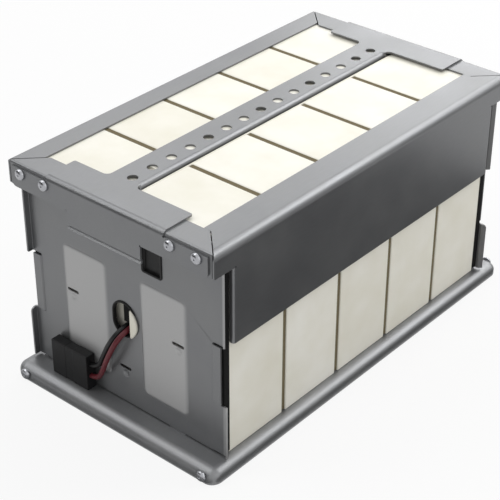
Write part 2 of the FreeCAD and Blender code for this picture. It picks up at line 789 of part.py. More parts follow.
def lead(name, points):
    wire = route_wire(name, points)
    first = V(*points[1]) - V(*points[0])
    ring = Part.Wire(Part.Circle(V(*points[0]), first, LEAD_R).toShape())
    tube = wire.makePipeShell([ring], True, False)
    expected = math.pi * LEAD_R ** 2 * wire.Length
    print(name, "volume over section times length", round(tube.Volume / expected, 4))
    return tube


# The whole module

def nodes():
    made = {
        "base_tray": base_tray(),
        "left_side_rail": mirrored(side_rail(LEFT_FLANGE), V(1, 0, 0)),
        "right_side_rail": side_rail(RIGHT_FLANGE),
        "front_cross_rail": cross_rail(),
        "rear_cross_rail": turned(cross_rail()),
        "hold_down_bracket": hold_down_bracket(),
        "front_end_plate": front_end_plate(),
        "rear_end_plate": rear_end_plate(),
        "front_edge_pads": edge_pads(),
        "rear_edge_pads": turned(edge_pads()),
        "hole_edge_trim": hole_edge_trim(),
        "service_hole_plug": service_hole_plug(),
        "front_frame_screws": frame_screws(),
        "rear_frame_screws": turned(frame_screws()),
        "front_tray_screws": tray_screws(),
        "rear_tray_screws": turned(tray_screws()),
        "rear_cross_link": rear_cross_link(),
        "connector_housing": connector_housing(),
        "connector_contacts": connector_contacts(),
        "red_lead": lead("red_lead", RED_ROUTE),
        "black_lead": lead("black_lead", BLACK_ROUTE),
        "red_lead_lug": lead_lug(1, RED_ROUTE),
        "black_lead_lug": lead_lug(-1, BLACK_ROUTE),
    }
    for side, row in ((-1, "left"), (1, "right")):
        for index in range(ROW_COUNT):
            made[f"battery_{row}_{index + 1}"] = block(side, index)
        made[f"{row}_terminal_seats"] = terminal_seats(side)
        made[f"{row}_row_links"] = row_links(side)
    return made


os.makedirs("parts", exist_ok=True)
for node, shape in nodes().items():
    shape.exportStep(f"parts/{node}.step")
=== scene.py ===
import math

import bmesh
import bpy
from mathutils import Matrix, Vector
from mathutils.geometry import delaunay_2d_cdt


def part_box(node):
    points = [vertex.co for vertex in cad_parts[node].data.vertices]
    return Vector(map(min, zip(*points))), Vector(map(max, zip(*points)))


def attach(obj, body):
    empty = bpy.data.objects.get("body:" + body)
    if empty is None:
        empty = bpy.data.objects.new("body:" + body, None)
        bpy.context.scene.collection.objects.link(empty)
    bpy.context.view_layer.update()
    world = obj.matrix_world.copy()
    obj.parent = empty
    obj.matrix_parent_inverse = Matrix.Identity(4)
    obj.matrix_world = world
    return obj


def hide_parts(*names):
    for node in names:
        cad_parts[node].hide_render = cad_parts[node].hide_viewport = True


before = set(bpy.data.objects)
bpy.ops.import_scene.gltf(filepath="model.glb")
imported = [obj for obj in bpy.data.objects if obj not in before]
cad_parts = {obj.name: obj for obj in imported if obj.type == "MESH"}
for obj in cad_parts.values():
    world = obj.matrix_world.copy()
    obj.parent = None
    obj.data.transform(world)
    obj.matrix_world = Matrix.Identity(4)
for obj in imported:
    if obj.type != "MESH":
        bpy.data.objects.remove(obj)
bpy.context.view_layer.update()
scene = bpy.context.scene


# Viewpoint: the module stands below a long lens, off its right front corner, and the
# lens looks down on it, so that the top, the front end and the right side all show.

VIEW_TURN = math.radians(40.43)
VIEW_RISE = math.radians(32.4)
VIEW_ROLL = math.radians(0.19)
VIEW_DISTANCE = 1.2131
VIEW_SLIDE = (-0.01638, -0.02416)
VIEW_HEIGHT = 0.1
LENS_MM = 106.6
FILM_MM = 36.0
FURTHEST = 20.0
QUARTER = math.pi / 2


def new_object(name, data):
    made = bpy.data.objects.new(name, data)
    scene.collection.objects.link(made)
    return made


camera_data = bpy.data.cameras.new("viewpoint")
camera_data.lens = LENS_MM
camera_data.sensor_width = FILM_MM
camera_data.clip_end = FURTHEST
camera = new_object("viewpoint", camera_data)
turned = Matrix.Rotation(VIEW_TURN, 4, "Z") @ Matrix.Rotation(QUARTER - VIEW_RISE, 4, "X")
turned @= Matrix.Rotation(VIEW_ROLL, 4, "Z")
place = Vector((0, 0, VIEW_HEIGHT)) + turned @ Vector((*VIEW_SLIDE, VIEW_DISTANCE))
camera.matrix_world = Matrix.Translation(place) @ turned
scene.camera = camera


# Leads: two short PVC-insulated wires, dark red and black, limp enough to hang in one
# soft bend. They are crimped to lugs in the channel between the rows, pass out through
# the trimmed hole and end in the connector.

MM = 0.001
LEAD_DIAMETER = 4.2
RED_ROUTE = [
    (2.25, -157.0, 83.0), (2.25, -168.0, 83.0), (-0.8, -178.4, 76.2),
    (-9.4, -180.9, 57.0), (-17.4, -179.0, 40.0), (-24.6, -176.2, 28.9),
    (-32.3, -175.0, 24.5), (-41.0, -175.0, 24.5),
]
BLACK_ROUTE = [
    (-2.25, -157.0, 83.0), (-2.25, -166.9, 83.0), (-5.4, -175.6, 76.8),
    (-11.4, -177.4, 66.0), (-17.4, -176.8, 54.0), (-22.8, -175.6, 42.8),
    (-27.6, -175.1, 37.6), (-34.6, -175.0, 35.0), (-41.0, -175.0, 35.0),
]


def srgb(code):
    """Hex colour as the linear colour that a shader takes."""
    channels = [int(code[at:at + 2], 16) / 255 for at in (1, 3, 5)]
    linear = [c / 12.92 if c <= 0.04045 else ((c + 0.055) / 1.055) ** 2.4 for c in channels]
    return linear + [1.0]


def feed(node, sockets):
    """Give inputs a value, or a link from a socket or from a node's first output."""
    for name, value in sockets.items():
        if isinstance(value, bpy.types.Node):
            value = value.outputs[0]
        if isinstance(value, bpy.types.NodeSocket):
            node.id_data.links.new(value, node.inputs[name])
        else:
            node.inputs[name].default_value = value


def add_node(tree, kind, sockets=None, **settings):
    """Add a node. The tree gives the first part of its kind."""
    family = "" if "Node" in kind else tree.bl_idname.replace("Tree", "")
    node = tree.nodes.new(family + kind)
    for name, value in settings.items():
        setattr(node, name, value)
    feed(node, sockets or {})
    return node


def empty_tree(owner):
    owner.use_nodes = True
    owner.node_tree.nodes.clear()
    return owner.node_tree


def new_finish(name, **sockets):
    """Material with one shader, whose sockets are given by name."""
    finish = bpy.data.materials.new(name)
    tree = empty_tree(finish)
    values = {key.replace("_", " "): value for key, value in sockets.items()}
    shader = add_node(tree, "BsdfPrincipled", values)
    add_node(tree, "OutputMaterial", {"Surface": shader})
    return finish, tree, shader


def grain(tree, size, stretch=(1, 1, 1), detail=3.0):
    """Noise as coarse as a size in millimetres, stretched by a factor below one."""
    coordinates = add_node(tree, "TexCoord")
    mapping = add_node(tree, "Mapping", {"Vector": coordinates.outputs["Object"], "Scale": stretch})
    sockets = {"Vector": mapping, "Scale": 1.0 / (size * MM), "Detail": detail}
    return add_node(tree, "TexNoise", sockets)


def between(tree, factor, low, high, spread=(0.3, 0.7)):
    """Number, or colour, that follows a pattern between two ends."""
    if not isinstance(low, str):
        sockets = {"Value": factor, 1: spread[0], 2: spread[1], 3: low, 4: high}
        return add_node(tree, "MapRange", sockets)
    ramp = add_node(tree, "ValToRGB", {0: factor})
    for element, position, code in zip(ramp.color_ramp.elements, spread, (low, high)):
        element.position = position
        element.color = srgb(code)
    return ramp


def relief(shader, height, depth):
    """Bump from a pattern, as deep in millimetres as it is on the real surface."""
    sockets = {"Height": height, "Distance": depth * MM, "Strength": 1.0}
    feed(shader, {"Normal": add_node(shader.id_data, "Bump", sockets)})


def clouded(name, shade, light, size, roughness, texture=None, **sockets):
    """Finish whose tone drifts over a size in millimetres, as a pair for the roughness
    does. A texture has its own size and depth."""
    finish, tree, shader = new_finish(name, **sockets)
    cloud = grain(tree, size)
    dull = between(tree, cloud, *roughness) if isinstance(roughness, tuple) else roughness
    feed(shader, {"Base Color": between(tree, cloud, shade, light), "Roughness": dull})
    if texture:
        relief(shader, grain(tree, texture[0]), texture[1])
    return finish


def hand_over(piece, slot, *nodes):
    """Let a piece ride on the module and stand for its CAD nodes."""
    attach(piece, "root")
    if nodes:
        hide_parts(*nodes)


def lead(name, route, finish):
    curve = bpy.data.curves.new(name, "CURVE")
    curve.dimensions = "3D"
    curve.bevel_depth = LEAD_DIAMETER / 2 * MM
    curve.bevel_resolution = 8
    curve.resolution_u = 12
    curve.use_fill_caps = True
    spline = curve.splines.new("NURBS")
    spline.points.add(len(route) - 1)
    for point, at in zip(spline.points, route):
        point.co = [c * MM for c in at] + [1.0]
    spline.order_u = 3
    spline.use_endpoint_u = True
    curve.materials.append(finish)
    return new_object(name, curve)


# PVC drawn over the strands: smooth and glossy, with a slow ripple from coiling.
PVC = {"size": 5.0, "roughness": 0.4, "texture": (1.2, 0.03), "IOR": 1.53,
       "Specular_IOR_Level": 0.3}
red_finish = clouded("red_pvc_insulation", "#551820", "#66222a", **PVC)
black_finish = clouded("black_pvc_insulation", "#0a0a0b", "#141415", **PVC)
red_lead = lead("red_lead_wire", RED_ROUTE, red_finish)
black_lead = lead("black_lead_wire", BLACK_ROUTE, black_finish)
hand_over(red_lead, "red_insulation", "red_lead")
hand_over(black_lead, "black_insulation", "black_lead")


# Studio: white paper, seen as plain white, under the module and behind it. Soft boxes
# behind it light the steel tops and the folds, others the pale cases and the front.
# Cards that only reflections see darken the steel's low edges and the left flanges.

FLOOR_HALF = 3.0
FLOOR_SHADOW = 0.12
SURROUND = 0.45
CARD_HEIGHT = 0.001


def background_rays(tree):
    """One for rays that should see the plain background, and zero for the others."""
    rays = add_node(tree, "LightPath")
    seen = rays.outputs["Is Camera Ray"]
    for kind in ("Is Glossy Ray", "Is Transmission Ray"):
        seen = add_node(tree, "Math", {0: seen, 1: rays.outputs[kind]}, operation="MAXIMUM")
    return seen


def studio_paper(name):
    """White paper that the camera and reflections see as plain white, under a shadow."""
    finish = bpy.data.materials.new(name)
    tree = empty_tree(finish)
    paper = add_node(tree, "BsdfDiffuse", {"Color": srgb("#e2e2e2")})
    white = add_node(tree, "Emission", {"Color": srgb("#ffffff"), "Strength": 1.0})
    sockets = {0: background_rays(tree), 1: 1.0 - FLOOR_SHADOW}
    share = add_node(tree, "Math", sockets, operation="MULTIPLY")
    mixed = add_node(tree, "MixShader", {0: share, 1: paper, 2: white})
    add_node(tree, "OutputMaterial", {"Surface": mixed})
    return finish


def studio_sheet(name, corners, finish, is_card=True):
    """Flat sheet of the studio, in metres. A card only shows as a reflection in metal."""
    mesh = bpy.data.meshes.new(name)
    mesh.from_pydata(corners, [], [(0, 1, 2, 3)])
    mesh.materials.append(finish)
    sheet = new_object(name, mesh)
    if is_card:
        sheet.visible_camera = sheet.visible_diffuse = sheet.visible_shadow = False


def lying(x, y, z=CARD_HEIGHT):
    return [(x[0], y[0], z), (x[1], y[0], z), (x[1], y[1], z), (x[0], y[1], z)]


def standing(start, stop, height):
    return [(*start, 0.0), (*stop, 0.0), (*stop, height), (*start, height)]


def soft_box(name, place, aim, size, power):
    light = bpy.data.lights.new(name, "AREA")
    light.shape = "RECTANGLE"
    light.size, light.size_y = size
    light.energy = power
    lamp = new_object(name, light)
    lamp.location = place
    lamp.rotation_euler = (Vector(aim) - Vector(place)).to_track_quat("-Z", "Y").to_euler()


floor_reach = (-FLOOR_HALF, FLOOR_HALF)
floor_corners = lying(floor_reach, floor_reach, 0.0)
studio_sheet("paper", floor_corners, studio_paper("white_paper"), is_card=False)
dark_card = new_finish("dark_card", Base_Color=srgb("#2c2c2c"), Roughness=0.9)[0]
grey_card = new_finish("grey_card", Base_Color=srgb("#a8a8a8"), Roughness=0.9)[0]
studio_sheet("right_floor_card", lying((0.109, 0.75), (-0.19, 0.34)), dark_card)
studio_sheet("front_floor_card", lying((-0.30, 0.108), (-0.212, -0.1912)), grey_card)
studio_sheet("right_back_card", standing((1.55, 0.15), (0.45, 1.40), 0.22), dark_card)
studio_sheet("left_front_card", standing((-1.6, -0.6), (-0.2, -1.7), 0.9), dark_card)
soft_box("low_back_box", (-0.65, 1.70, 0.95), (0, 0, 0.15), (1.1, 0.5), 6.7)
soft_box("high_box", (-0.5, 0.6, 2.0), (0, 0, 0.1), (1.2, 1.2), 3.2)
soft_box("fold_box", (0.40, 1.40, 1.55), (0, 0, 0.15), (1.5, 0.6), 14.5)
soft_box("side_box", (1.7, -0.45, 0.9), (0, 0, 0.1), (1.4, 1.2), 3.0)
soft_box("left_front_box", (-1.0, -0.6, 1.9), (0, 0, 0.1), (1.0, 0.9), 7.8)
soft_box("top_glow_box", (-1.19, 0.95, 1.27), (0, 0, 0.19), (0.5, 0.5), 1.8)
soft_box("bend_box", (1.07, 1.29, 1.25), (0.1, 0, 0.19), (0.8, 0.6), 5.0)
soft_box("left_low_box", (-1.1, -1.3, 1.15), (0, 0, 0.1), (0.6, 0.5), 4.0)
scene.world = bpy.data.worlds.new("surround")
tree = empty_tree(scene.world)
strength = add_node(tree, "MapRange", {"Value": background_rays(tree), 3: SURROUND, 4: 1.0})
surround = add_node(tree, "Background", {"Color": srgb("#ffffff"), "Strength": strength})
add_node(tree, "OutputWorld", {"Surface": surround})
scene.view_settings.view_transform = "Standard"


# Base tray: one blank of zinc-coated sheet, pressed so that its long edges roll right
# under and its ends turn down as lips with soft corners. The blocks stand on it.

SHEET = 1.5
TRAY_SHEET = 1.2
TRAY_ROLL = 5.8
TRAY_SHOULDER = 8.6
TRAY_FOOT = 1.6
TRAY_WALL = 0.4
TRAY_LIP_BEND = 9.4
TRAY_LIP_DROP = 8.0
TRAY_CORNER = 8.6
TRAY_RETURN = 8.0
TRAY_RINGS = 16
SOFT_EDGE = 0.22
SHARP_TURN = math.radians(35)
FLAT_TURN = math.radians(0.2)
CORNER_STEPS = 8
STEEL_TONES = ("#77787a", "#7e7f80")


def span(node):
    """Lowest and highest corner of a CAD node, in millimetres."""
    low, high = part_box(node)
    return low / MM, high / MM


def multiplied(tree, tint, stain):
    """Colour of one pattern, darkened by that of another."""
    sockets = {0: 1.0, 6: tint, 7: stain}
    mix = add_node(tree, "Mix", sockets, data_type="RGBA", blend_type="MULTIPLY")
    return mix.outputs[2]


def zinc_coated_steel(name, shade, light, roughness=(0.33, 0.41)):
    """Electro-zinc on cold-rolled sheet: satin grey, with a faint grain along the coil and a soft
    cloudiness from the bath."""
    finish, tree, shader = new_finish(name, Metallic=0.7, Specular_IOR_Level=0.5)
    cloud = grain(tree, 38.0)
    rolled = grain(tree, 0.8, (1.0, 0.08, 1.0), 2.0)
    tint = between(tree, cloud, shade, light)
    line = between(tree, rolled, "#f9f9f9", "#ffffff")
    feed(shader, {
        "Base Color": multiplied(tree, tint, line),
        "Roughness": between(tree, cloud, *roughness),
    })
    relief(shader, rolled, 0.001)
    return finish, tree, shader


# The tray has its own copy of the steel, painted paler as painted light on its ledge and lips,
# which lie low in shade; it is rougher too.
steel_finish = zinc_coated_steel("zinc_coated_sheet_steel", *STEEL_TONES)[0]
tray_painted_light_finish = zinc_coated_steel("zinc_coated_tray", "#858688", "#8c8d8e", (0.40, 0.48))[0]


def rounded(corners, steps=CORNER_STEPS):
    """Closed outline through (u, v, radius) corners."""
    points = []
    for index, (u, v, radius) in enumerate(corners):
        corner = Vector((u, v))
        if radius <= 0:
            points.append(corner)
            continue
        before = (Vector(corners[index - 1][:2]) - corner).normalized()
        after = (Vector(corners[(index + 1) % len(corners)][:2]) - corner).normalized()
        half_turn = before.angle(after) / 2
        reach = radius / math.tan(half_turn)
        centre = corner + (before + after).normalized() * (radius / math.sin(half_turn))
        start = corner + before * reach - centre
        stop = corner + after * reach - centre
        sweep = start.angle_signed(stop)
        for step in range(steps + 1):
            points.append(centre + Matrix.Rotation(-sweep * step / steps, 2) @ start)
    return points


def rectangle(u, v, radius=0.0):
    (u0, u1), (v0, v1) = sorted(u), sorted(v)
    return [(u0, v0, radius), (u1, v0, radius), (u1, v1, radius), (u0, v1, radius)]


def link_mesh(name, vertices, faces, finish):
    """Object in the frame's metres, from vertices in millimetres."""
    mesh = bpy.data.meshes.new(name)
    mesh.from_pydata([Vector(v) * MM for v in vertices], [], faces)
    mesh.materials.append(finish)
    return new_object(name, mesh)


def clean(piece, merge=0.0, is_blank=False):
    """Merge doubled points and turn every face outwards. A blank keeps its side, loses
    its loose points, and has each flat part of its face in one piece."""
    mesh = bmesh.new()
    mesh.from_mesh(piece.data)
    if merge:
        bmesh.ops.remove_doubles(mesh, verts=mesh.verts, dist=merge * MM)
    if is_blank:
        loose = [v for v in mesh.verts if not v.link_faces]
        bmesh.ops.delete(mesh, geom=loose, context="VERTS")
        bmesh.ops.dissolve_limit(
            mesh, angle_limit=FLAT_TURN, verts=mesh.verts, edges=mesh.edges
        )
    else:
        bmesh.ops.recalc_face_normals(mesh, faces=mesh.faces)
    mesh.to_mesh(piece.data)
    mesh.free()
    return piece


def plain(piece):
    """Replace a piece's mesh by what its modifiers make of it."""
    depsgraph = bpy.context.evaluated_depsgraph_get()
    made = bpy.data.meshes.new_from_object(piece.evaluated_get(depsgraph), depsgraph=depsgraph)
    piece.modifiers.clear()
    old = piece.data
    piece.data = made
    bpy.data.meshes.remove(old)
    made.name = piece.name
    return piece


def modify(piece, kind, **settings):
    modifier = piece.modifiers.new(kind.lower(), kind)
    for name, value in settings.items():
        setattr(modifier, name, value)


def finished(piece, thickness=0.0, edge=SOFT_EDGE, side=-1.0, segments=2):
    """Give a sheet its thickness, ease its edges, and leave a plain mesh."""
    if thickness:
        modify(piece, "SOLIDIFY", thickness=thickness * MM, offset=side, use_even_offset=True)
    if edge:
        modify(
            piece, "BEVEL", width=edge * MM, segments=segments, limit_method="ANGLE",
            angle_limit=SHARP_TURN,
        )
    for polygon in piece.data.polygons:
        polygon.use_smooth = True
    modify(piece, "WEIGHTED_NORMAL", keep_sharp=True)
    return plain(piece)


def skin(loops, base=0, close=False):
    """Faces through loops of as many vertices each, numbered from a base. Open ends are
    capped, the last one by the last face."""
    count = len(loops[0])
    faces = []
    for index in range(len(loops) if close else len(loops) - 1):
        first = base + index * count
        second = base + (index + 1) % len(loops) * count
        faces += [
            (first + at, first + (at + 1) % count, second + (at + 1) % count, second + at)
            for at in range(count)
        ]
    if not close:
        last = base + (len(loops) - 1) * count
        faces += [tuple(range(base, base + count))[::-1], tuple(range(last, last + count))]
    return faces


def loft(name, loops, finish, close=False):
    vertices = [point for loop in loops for point in loop]
    return clean(link_mesh(name, vertices, skin(loops, 0, close), finish))


def tray_profile(depth, end, top):
    """Inset and height down the edge, for a depth from 0 at the top to 1 at the foot and
    a place between a long side (0) and an end (1)."""
    turn = min(depth / 0.5, 1.0) * QUARTER
    fall = max(depth - 0.5, 0.0) / 0.5
    foot_turn = max(fall - TRAY_WALL, 0.0) / (1 - TRAY_WALL) * QUARTER
    wall = top - TRAY_ROLL - (top - TRAY_ROLL - TRAY_FOOT) * min(fall / TRAY_WALL, 1.0)
    roll = (
        TRAY_SHOULDER * (1 - math.sin(turn)) + TRAY_FOOT * (1 - math.cos(foot_turn)),
        wall + TRAY_ROLL * math.cos(turn) - TRAY_FOOT * math.sin(foot_turn),
    )
    lip = (
        TRAY_LIP_BEND * (1 - math.sin(turn)),
        top - TRAY_LIP_DROP * (1 - math.cos(turn)) - fall * (top - TRAY_LIP_DROP),
    )
    return roll[0] + (lip[0] - roll[0]) * end, roll[1] + (lip[1] - roll[1]) * end


def tray_ring(depth, half_w, half_l, top):
    ring = []
    for sx, sy in ((1, -1), (1, 1), (-1, 1), (-1, -1)):
        for step in range(CORNER_STEPS + 1):
            end = step / CORNER_STEPS if sx * sy > 0 else 1 - step / CORNER_STEPS
            inset, height = tray_profile(depth, end, top)
            turn = end * QUARTER
            reach = max(TRAY_CORNER - inset, 0.0)
            x = half_w - max(inset, TRAY_CORNER) + reach * math.cos(turn)
            y = half_l - max(inset, TRAY_CORNER) + reach * math.sin(turn)
            ring.append((sx * x, sy * y, height))
    return ring


def base_tray():
    half_w, half_l, top = span("base_tray")[1]
    rings = [
        tray_ring(index / TRAY_RINGS, half_w, half_l, top) for index in range(TRAY_RINGS + 1)
    ]
    vertices = [point for ring in rings for point in ring]
    faces = skin(rings)[:-1]
    count = len(rings[0])
    foot = TRAY_RINGS * count
    inner = half_w - TRAY_ROLL - TRAY_RETURN
    for start, side in ((0, 1), (count // 2, -1)):
        first = foot + start + CORNER_STEPS
        last = foot + start + count // 2 - 1 - CORNER_STEPS
        base = len(vertices)
        vertices += [(side * inner, *vertices[corner][1:]) for corner in (first, last)]
        faces.append((first, base, base + 1, last))
    piece = link_mesh("pressed_base_tray", vertices, faces, tray_painted_light_finish)
    return finished(clean(piece, 0.01), TRAY_SHEET)


hand_over(base_tray(), "zinc_sheet_steel", "base_tray")


# Battery blocks: ten sealed lead-acid blocks stand on end in two rows of five. The
# cases are moulded in cream ABS, and no two of them have quite the same tone.

ROW_COUNT = 5
BLOCK_EDGE = 0.8
SEAM_FIT = 1.05
TONE_SEED = 4


def new_tree(name, inputs):
    """Geometry Nodes tree with named inputs; returns it with its input and output."""
    tree = bpy.data.node_groups.new(name, "GeometryNodeTree")
    tree.interface.new_socket("Geometry", in_out="INPUT", socket_type="NodeSocketGeometry")
    for label, kind in inputs.items():
        tree.interface.new_socket(label, in_out="INPUT", socket_type="NodeSocket" + kind)
    tree.interface.new_socket("Geometry", in_out="OUTPUT", socket_type="NodeSocketGeometry")
    return tree, tree.nodes.new("NodeGroupInput"), tree.nodes.new("NodeGroupOutput")


def set_out(tree, given, pattern):
    """Instances of a pattern on a straight line, as the tree's own inputs say."""
    count, first, step = (given.outputs[name] for name in ("Count", "First", "Step"))
    sockets = {"Count": count, "Start Location": first, "Offset": step}
    line = add_node(tree, "MeshLine", sockets, mode="OFFSET")
    return add_node(tree, "InstanceOnPoints", {"Points": line, "Instance": pattern})


def end_tree(tree, given, output, geometry):
    """Make the instances real and give them their material."""
    real = add_node(tree, "RealizeInstances", {"Geometry": geometry})
    sockets = {"Geometry": real, "Material": given.outputs["Material"]}
    feed(output, {0: add_node(tree, "SetMaterial", sockets)})


def grow(piece, tree, **values):
    """Run a tree on a piece with values for its inputs, and leave a plain mesh."""
    modifier = piece.modifiers.new(tree.name, "NODES")
    modifier.node_group = tree
    sockets = {
        item.name: item.identifier
        for item in tree.interface.items_tree
        if item.in_out == "INPUT"
    }
    for label, value in values.items():
        modifier[sockets[label]] = value
    return plain(piece)


def cream_abs():
    """Injection-moulded ABS: warm white, satin, with a fine spark-eroded texture."""
    finish, tree, shader = new_finish(
        "cream_moulded_abs", Roughness=0.46, IOR=1.54, Specular_IOR_Level=0.5
    )
    tone = add_node(tree, "Attribute", attribute_type="GEOMETRY", attribute_name="tone")
    tint = between(tree, tone.outputs["Fac"], "#ebe8dc", "#f2f0e7", (0.0, 1.0))
    stain = between(tree, grain(tree, 34.0), "#f6f5f0", "#ffffff")
    feed(shader, {"Base Color": multiplied(tree, tint, stain)})
    relief(shader, grain(tree, 0.7), 0.012)
    return finish


def battery_row():
    """Tree that sets out a row of one pattern piece, each with a tone of its own."""
    tree, given, output = new_tree(
        "battery_row",
        {"Block": "Object", "Count": "Int", "First": "Vector", "Step": "Vector",
         "Seed": "Int", "Material": "Material"},
    )
    block = add_node(tree, "ObjectInfo", {"Object": given.outputs["Block"]})
    row = set_out(tree, given, block.outputs["Geometry"])
    seed = {"Seed": given.outputs["Seed"]}
    tone = add_node(tree, "FunctionNodeRandomValue", seed, data_type="FLOAT")
    toned = add_node(
        tree, "StoreNamedAttribute", {"Geometry": row, "Name": "tone", "Value": tone.outputs[1]},
        data_type="FLOAT", domain="INSTANCE",
    )
    end_tree(tree, given, output, toned)
    return tree


def bar(name, low, high, finish):
    outline = rectangle((low.x, high.x), (low.y, high.y))
    return loft(name, [[(x, y, z) for x, y, _ in outline] for z in (low.z, high.z)], finish)


def row_of(name, low, high, count, seed, finish, edge=0.0):
    """Row of the same box, as far apart as the blocks, from the first one's corners."""
    middle = (low + high) / 2
    pattern = bar(f"{name}_pattern", low - middle, high - middle, finish)
    if edge:
        finished(pattern, edge=edge, segments=4)
    row = link_mesh(name, [], [], finish)
    pitch = span("battery_left_2")[0] - span("battery_left_1")[0]
    grow(
        row, row_tree, Block=pattern, Count=count, First=middle * MM, Step=pitch * MM,
        Seed=seed, Material=finish,
    )
    bpy.data.objects.remove(pattern)
    return row


block_finish = cream_abs()
row_tree = battery_row()
for row, seed in (("left", TONE_SEED), ("right", TONE_SEED + 1)):
    low, high = span(f"battery_{row}_1")
    fit = Vector((0, SEAM_FIT, 0))
    blocks = row_of(
        f"{row}_row_of_blocks", low + fit, high - fit, ROW_COUNT, seed, block_finish, BLOCK_EDGE
    )
    nodes = [f"battery_{row}_{n + 1}" for n in range(ROW_COUNT)]
    hand_over(blocks, "block_case_plastic", *nodes)


# Spacers and foam: thin brown fibreboard stands between the blocks, a little below their
# edges. Black foam, painted shade for the deep gaps behind the end plates, lies round the
# outer corners of the first and last blocks. Black foam is also painted shade for the dark gap
# seen through the leads' hole, and it closes the channel between the rows above the leads.

SPACER_INSET = 1.1
SPACER_TOP = 0.4
SPACER_FIT = 0.05
# Painted shade: where the black foam stands round the end blocks' corners and in the channel.
SHADE_PAD_X = (86.0, 98.0)
SHADE_PAD_WRAP = 1.6
SHADE_FOAM_EDGE = 0.3
SHADE_FILLER_LOW = Vector((-4.4, -166.0, 86.4))
SHADE_FILLER_HIGH = Vector((4.4, -158.0, 112.0))

# Dull board and foam: no gloss, with a mottle as coarse as their fibres or cells.
board_finish = clouded(
    "brown_fibreboard", "#6a614b", "#766c54", 1.5, 0.9, (1.5, 0.05), Specular_IOR_Level=0.2
)
# Black foam: its black stands in for deep shade, as painted shade.
shade_foam_finish = clouded(
    "black_closed_cell_foam", "#121212", "#1c1c1c", 0.6, 0.95, (0.6, 0.05),
    Specular_IOR_Level=0.2,
)


def turn_round(piece):
    """Turn a piece made at the front to its place at the rear."""
    piece.data.transform(Matrix.Rotation(math.pi, 4, "Z"))
    return piece


# Black foam round the end blocks' outer corners: painted shade for the deep gaps behind the end
# plates.
def corner_shade_pads(name):
    low, high = span("front_edge_pads")
    back_y = high.y + SHADE_PAD_WRAP
    block_x = span("battery_right_1")[1].x
    outline = [
        (SHADE_PAD_X[0], low.y), (SHADE_PAD_X[1], low.y), (SHADE_PAD_X[1], back_y), (block_x, back_y),
        (block_x, high.y), (SHADE_PAD_X[0], high.y),
    ]
    vertices = []
    faces = []
    for side in (-1, 1):
        loops = [[(side * x, y, z) for x, y in outline] for z in (low.z, high.z)]
        faces += skin(loops, len(vertices))
        vertices += loops[0] + loops[1]
    piece = clean(link_mesh(name, vertices, faces, shade_foam_finish))
    return finished(piece, edge=SHADE_FOAM_EDGE)


for row, seed in (("left", 0), ("right", 1)):
    low, high = span(f"battery_{row}_1")
    next_low = span(f"battery_{row}_2")[0]
    reach = SPACER_FIT - SEAM_FIT
    start = Vector((low.x + SPACER_INSET, high.y + reach, low.z + SPACER_INSET))
    stop = Vector((high.x - SPACER_INSET, next_low.y - reach, high.z - SPACER_TOP))
    boards = row_of(f"{row}_row_spacers", start, stop, ROW_COUNT - 1, seed, board_finish)
    hand_over(boards, "block_case_plastic")
# Black foam in the channel behind the leads' hole: painted shade for the dark gap between the rows.
shade_filler = bar("channel_filler", SHADE_FILLER_LOW, SHADE_FILLER_HIGH, shade_foam_finish)
hand_over(finished(shade_filler, edge=SHADE_FOAM_EDGE), "pad_foam")
hand_over(corner_shade_pads("front_corner_pads"), "pad_foam", "front_edge_pads")
hand_over(turn_round(corner_shade_pads("rear_corner_pads")), "pad_foam", "rear_edge_pads")


# End plates: each is cut flat and then folded, with flanges turned outwards at the top
# and foot, joggled lips between them and two panels pressed up by half a millimetre.
# The front one also has the leads' hole and a service hole.

BEND = 1.8
BEND_STEPS = 8
PLATE_FLANGE = 6.4
PLATE_MID_Z = (60.0, 111.4)
PLATE_LOW_Z = (13.6, 58.6)
PLATE_TOP_Z = (112.5, 176.5)
PLATE_HALF_TOP = 100.0
PLATE_HALF_LOW = 102.0
PLATE_HALF_LIP = 97.0
PLATE_FLANGES = ((PLATE_HALF_TOP, PLATE_TOP_Z), (PLATE_HALF_LOW, PLATE_LOW_Z))
PLATE_JOGGLE = 1.5
PLATE_JOGGLE_RUN = 1.0
PLATE_JOGGLE_X = 89.6
PLATE_FOOT_R = 4.0
PLATE_TAB_X = (44.0, 60.0)
PLATE_TAB_DROP = 4.0
PLATE_FOOT_GAP = 1.0
CUT_R = 0.4
TIP_R = 0.6
OPEN_TURN = math.radians(50)
OPEN_FLANGE = 2.8
# Painted highlight on the right-hand flanges: where its paling starts and ends across X, and how
# far it pales them.
PAINTED_SHEEN_X = (97.6, 98.6)
PAINTED_SHEEN = 0.6
PANEL_X = (18.4, 62.6)
PANEL_Z = (32.0, 133.0)
PANEL_RISE = 0.5
PANEL_CORNER_R = 4.0
PANEL_SLOPE = (-1.0, -0.5, 0.0, 0.5, 1.0)
PANEL_FADE = (-2.6, 2.2)
LANCE_W = 12.0
LANCE_H = 2.8
LANCE_SIDE = (54.8, 93.5)
LANCE_PLACES = [(-LANCE_SIDE[0], LANCE_SIDE[1]), LANCE_SIDE, (-1.6, 46.0)]
DIMPLE_R = 4.2
DIMPLE_DEPTH = 1.1
DIMPLE_DROP = 5.8
DIMPLE_PLACES = [(u, v - DIMPLE_DROP) for u, v in LANCE_PLACES]
OVERRUN = 0.1
CABLE_HOLE = ((-11.4, 10.8), (76.6, 106.4), 11.09)
SERVICE_HOLE = ((21.0, 40.0), (144.0, 171.0), 1.5)


def is_inside(point, loop):
    """Whether a point of a blank lies inside a closed outline."""
    found = False
    u, v = point
    for (u0, v0), (u1, v1) in zip(loop, loop[1:] + loop[:1]):
        if (v0 > v) != (v1 > v) and u < (u1 - u0) * (v - v0) / (v1 - v0) + u0:
            found = not found
    return found


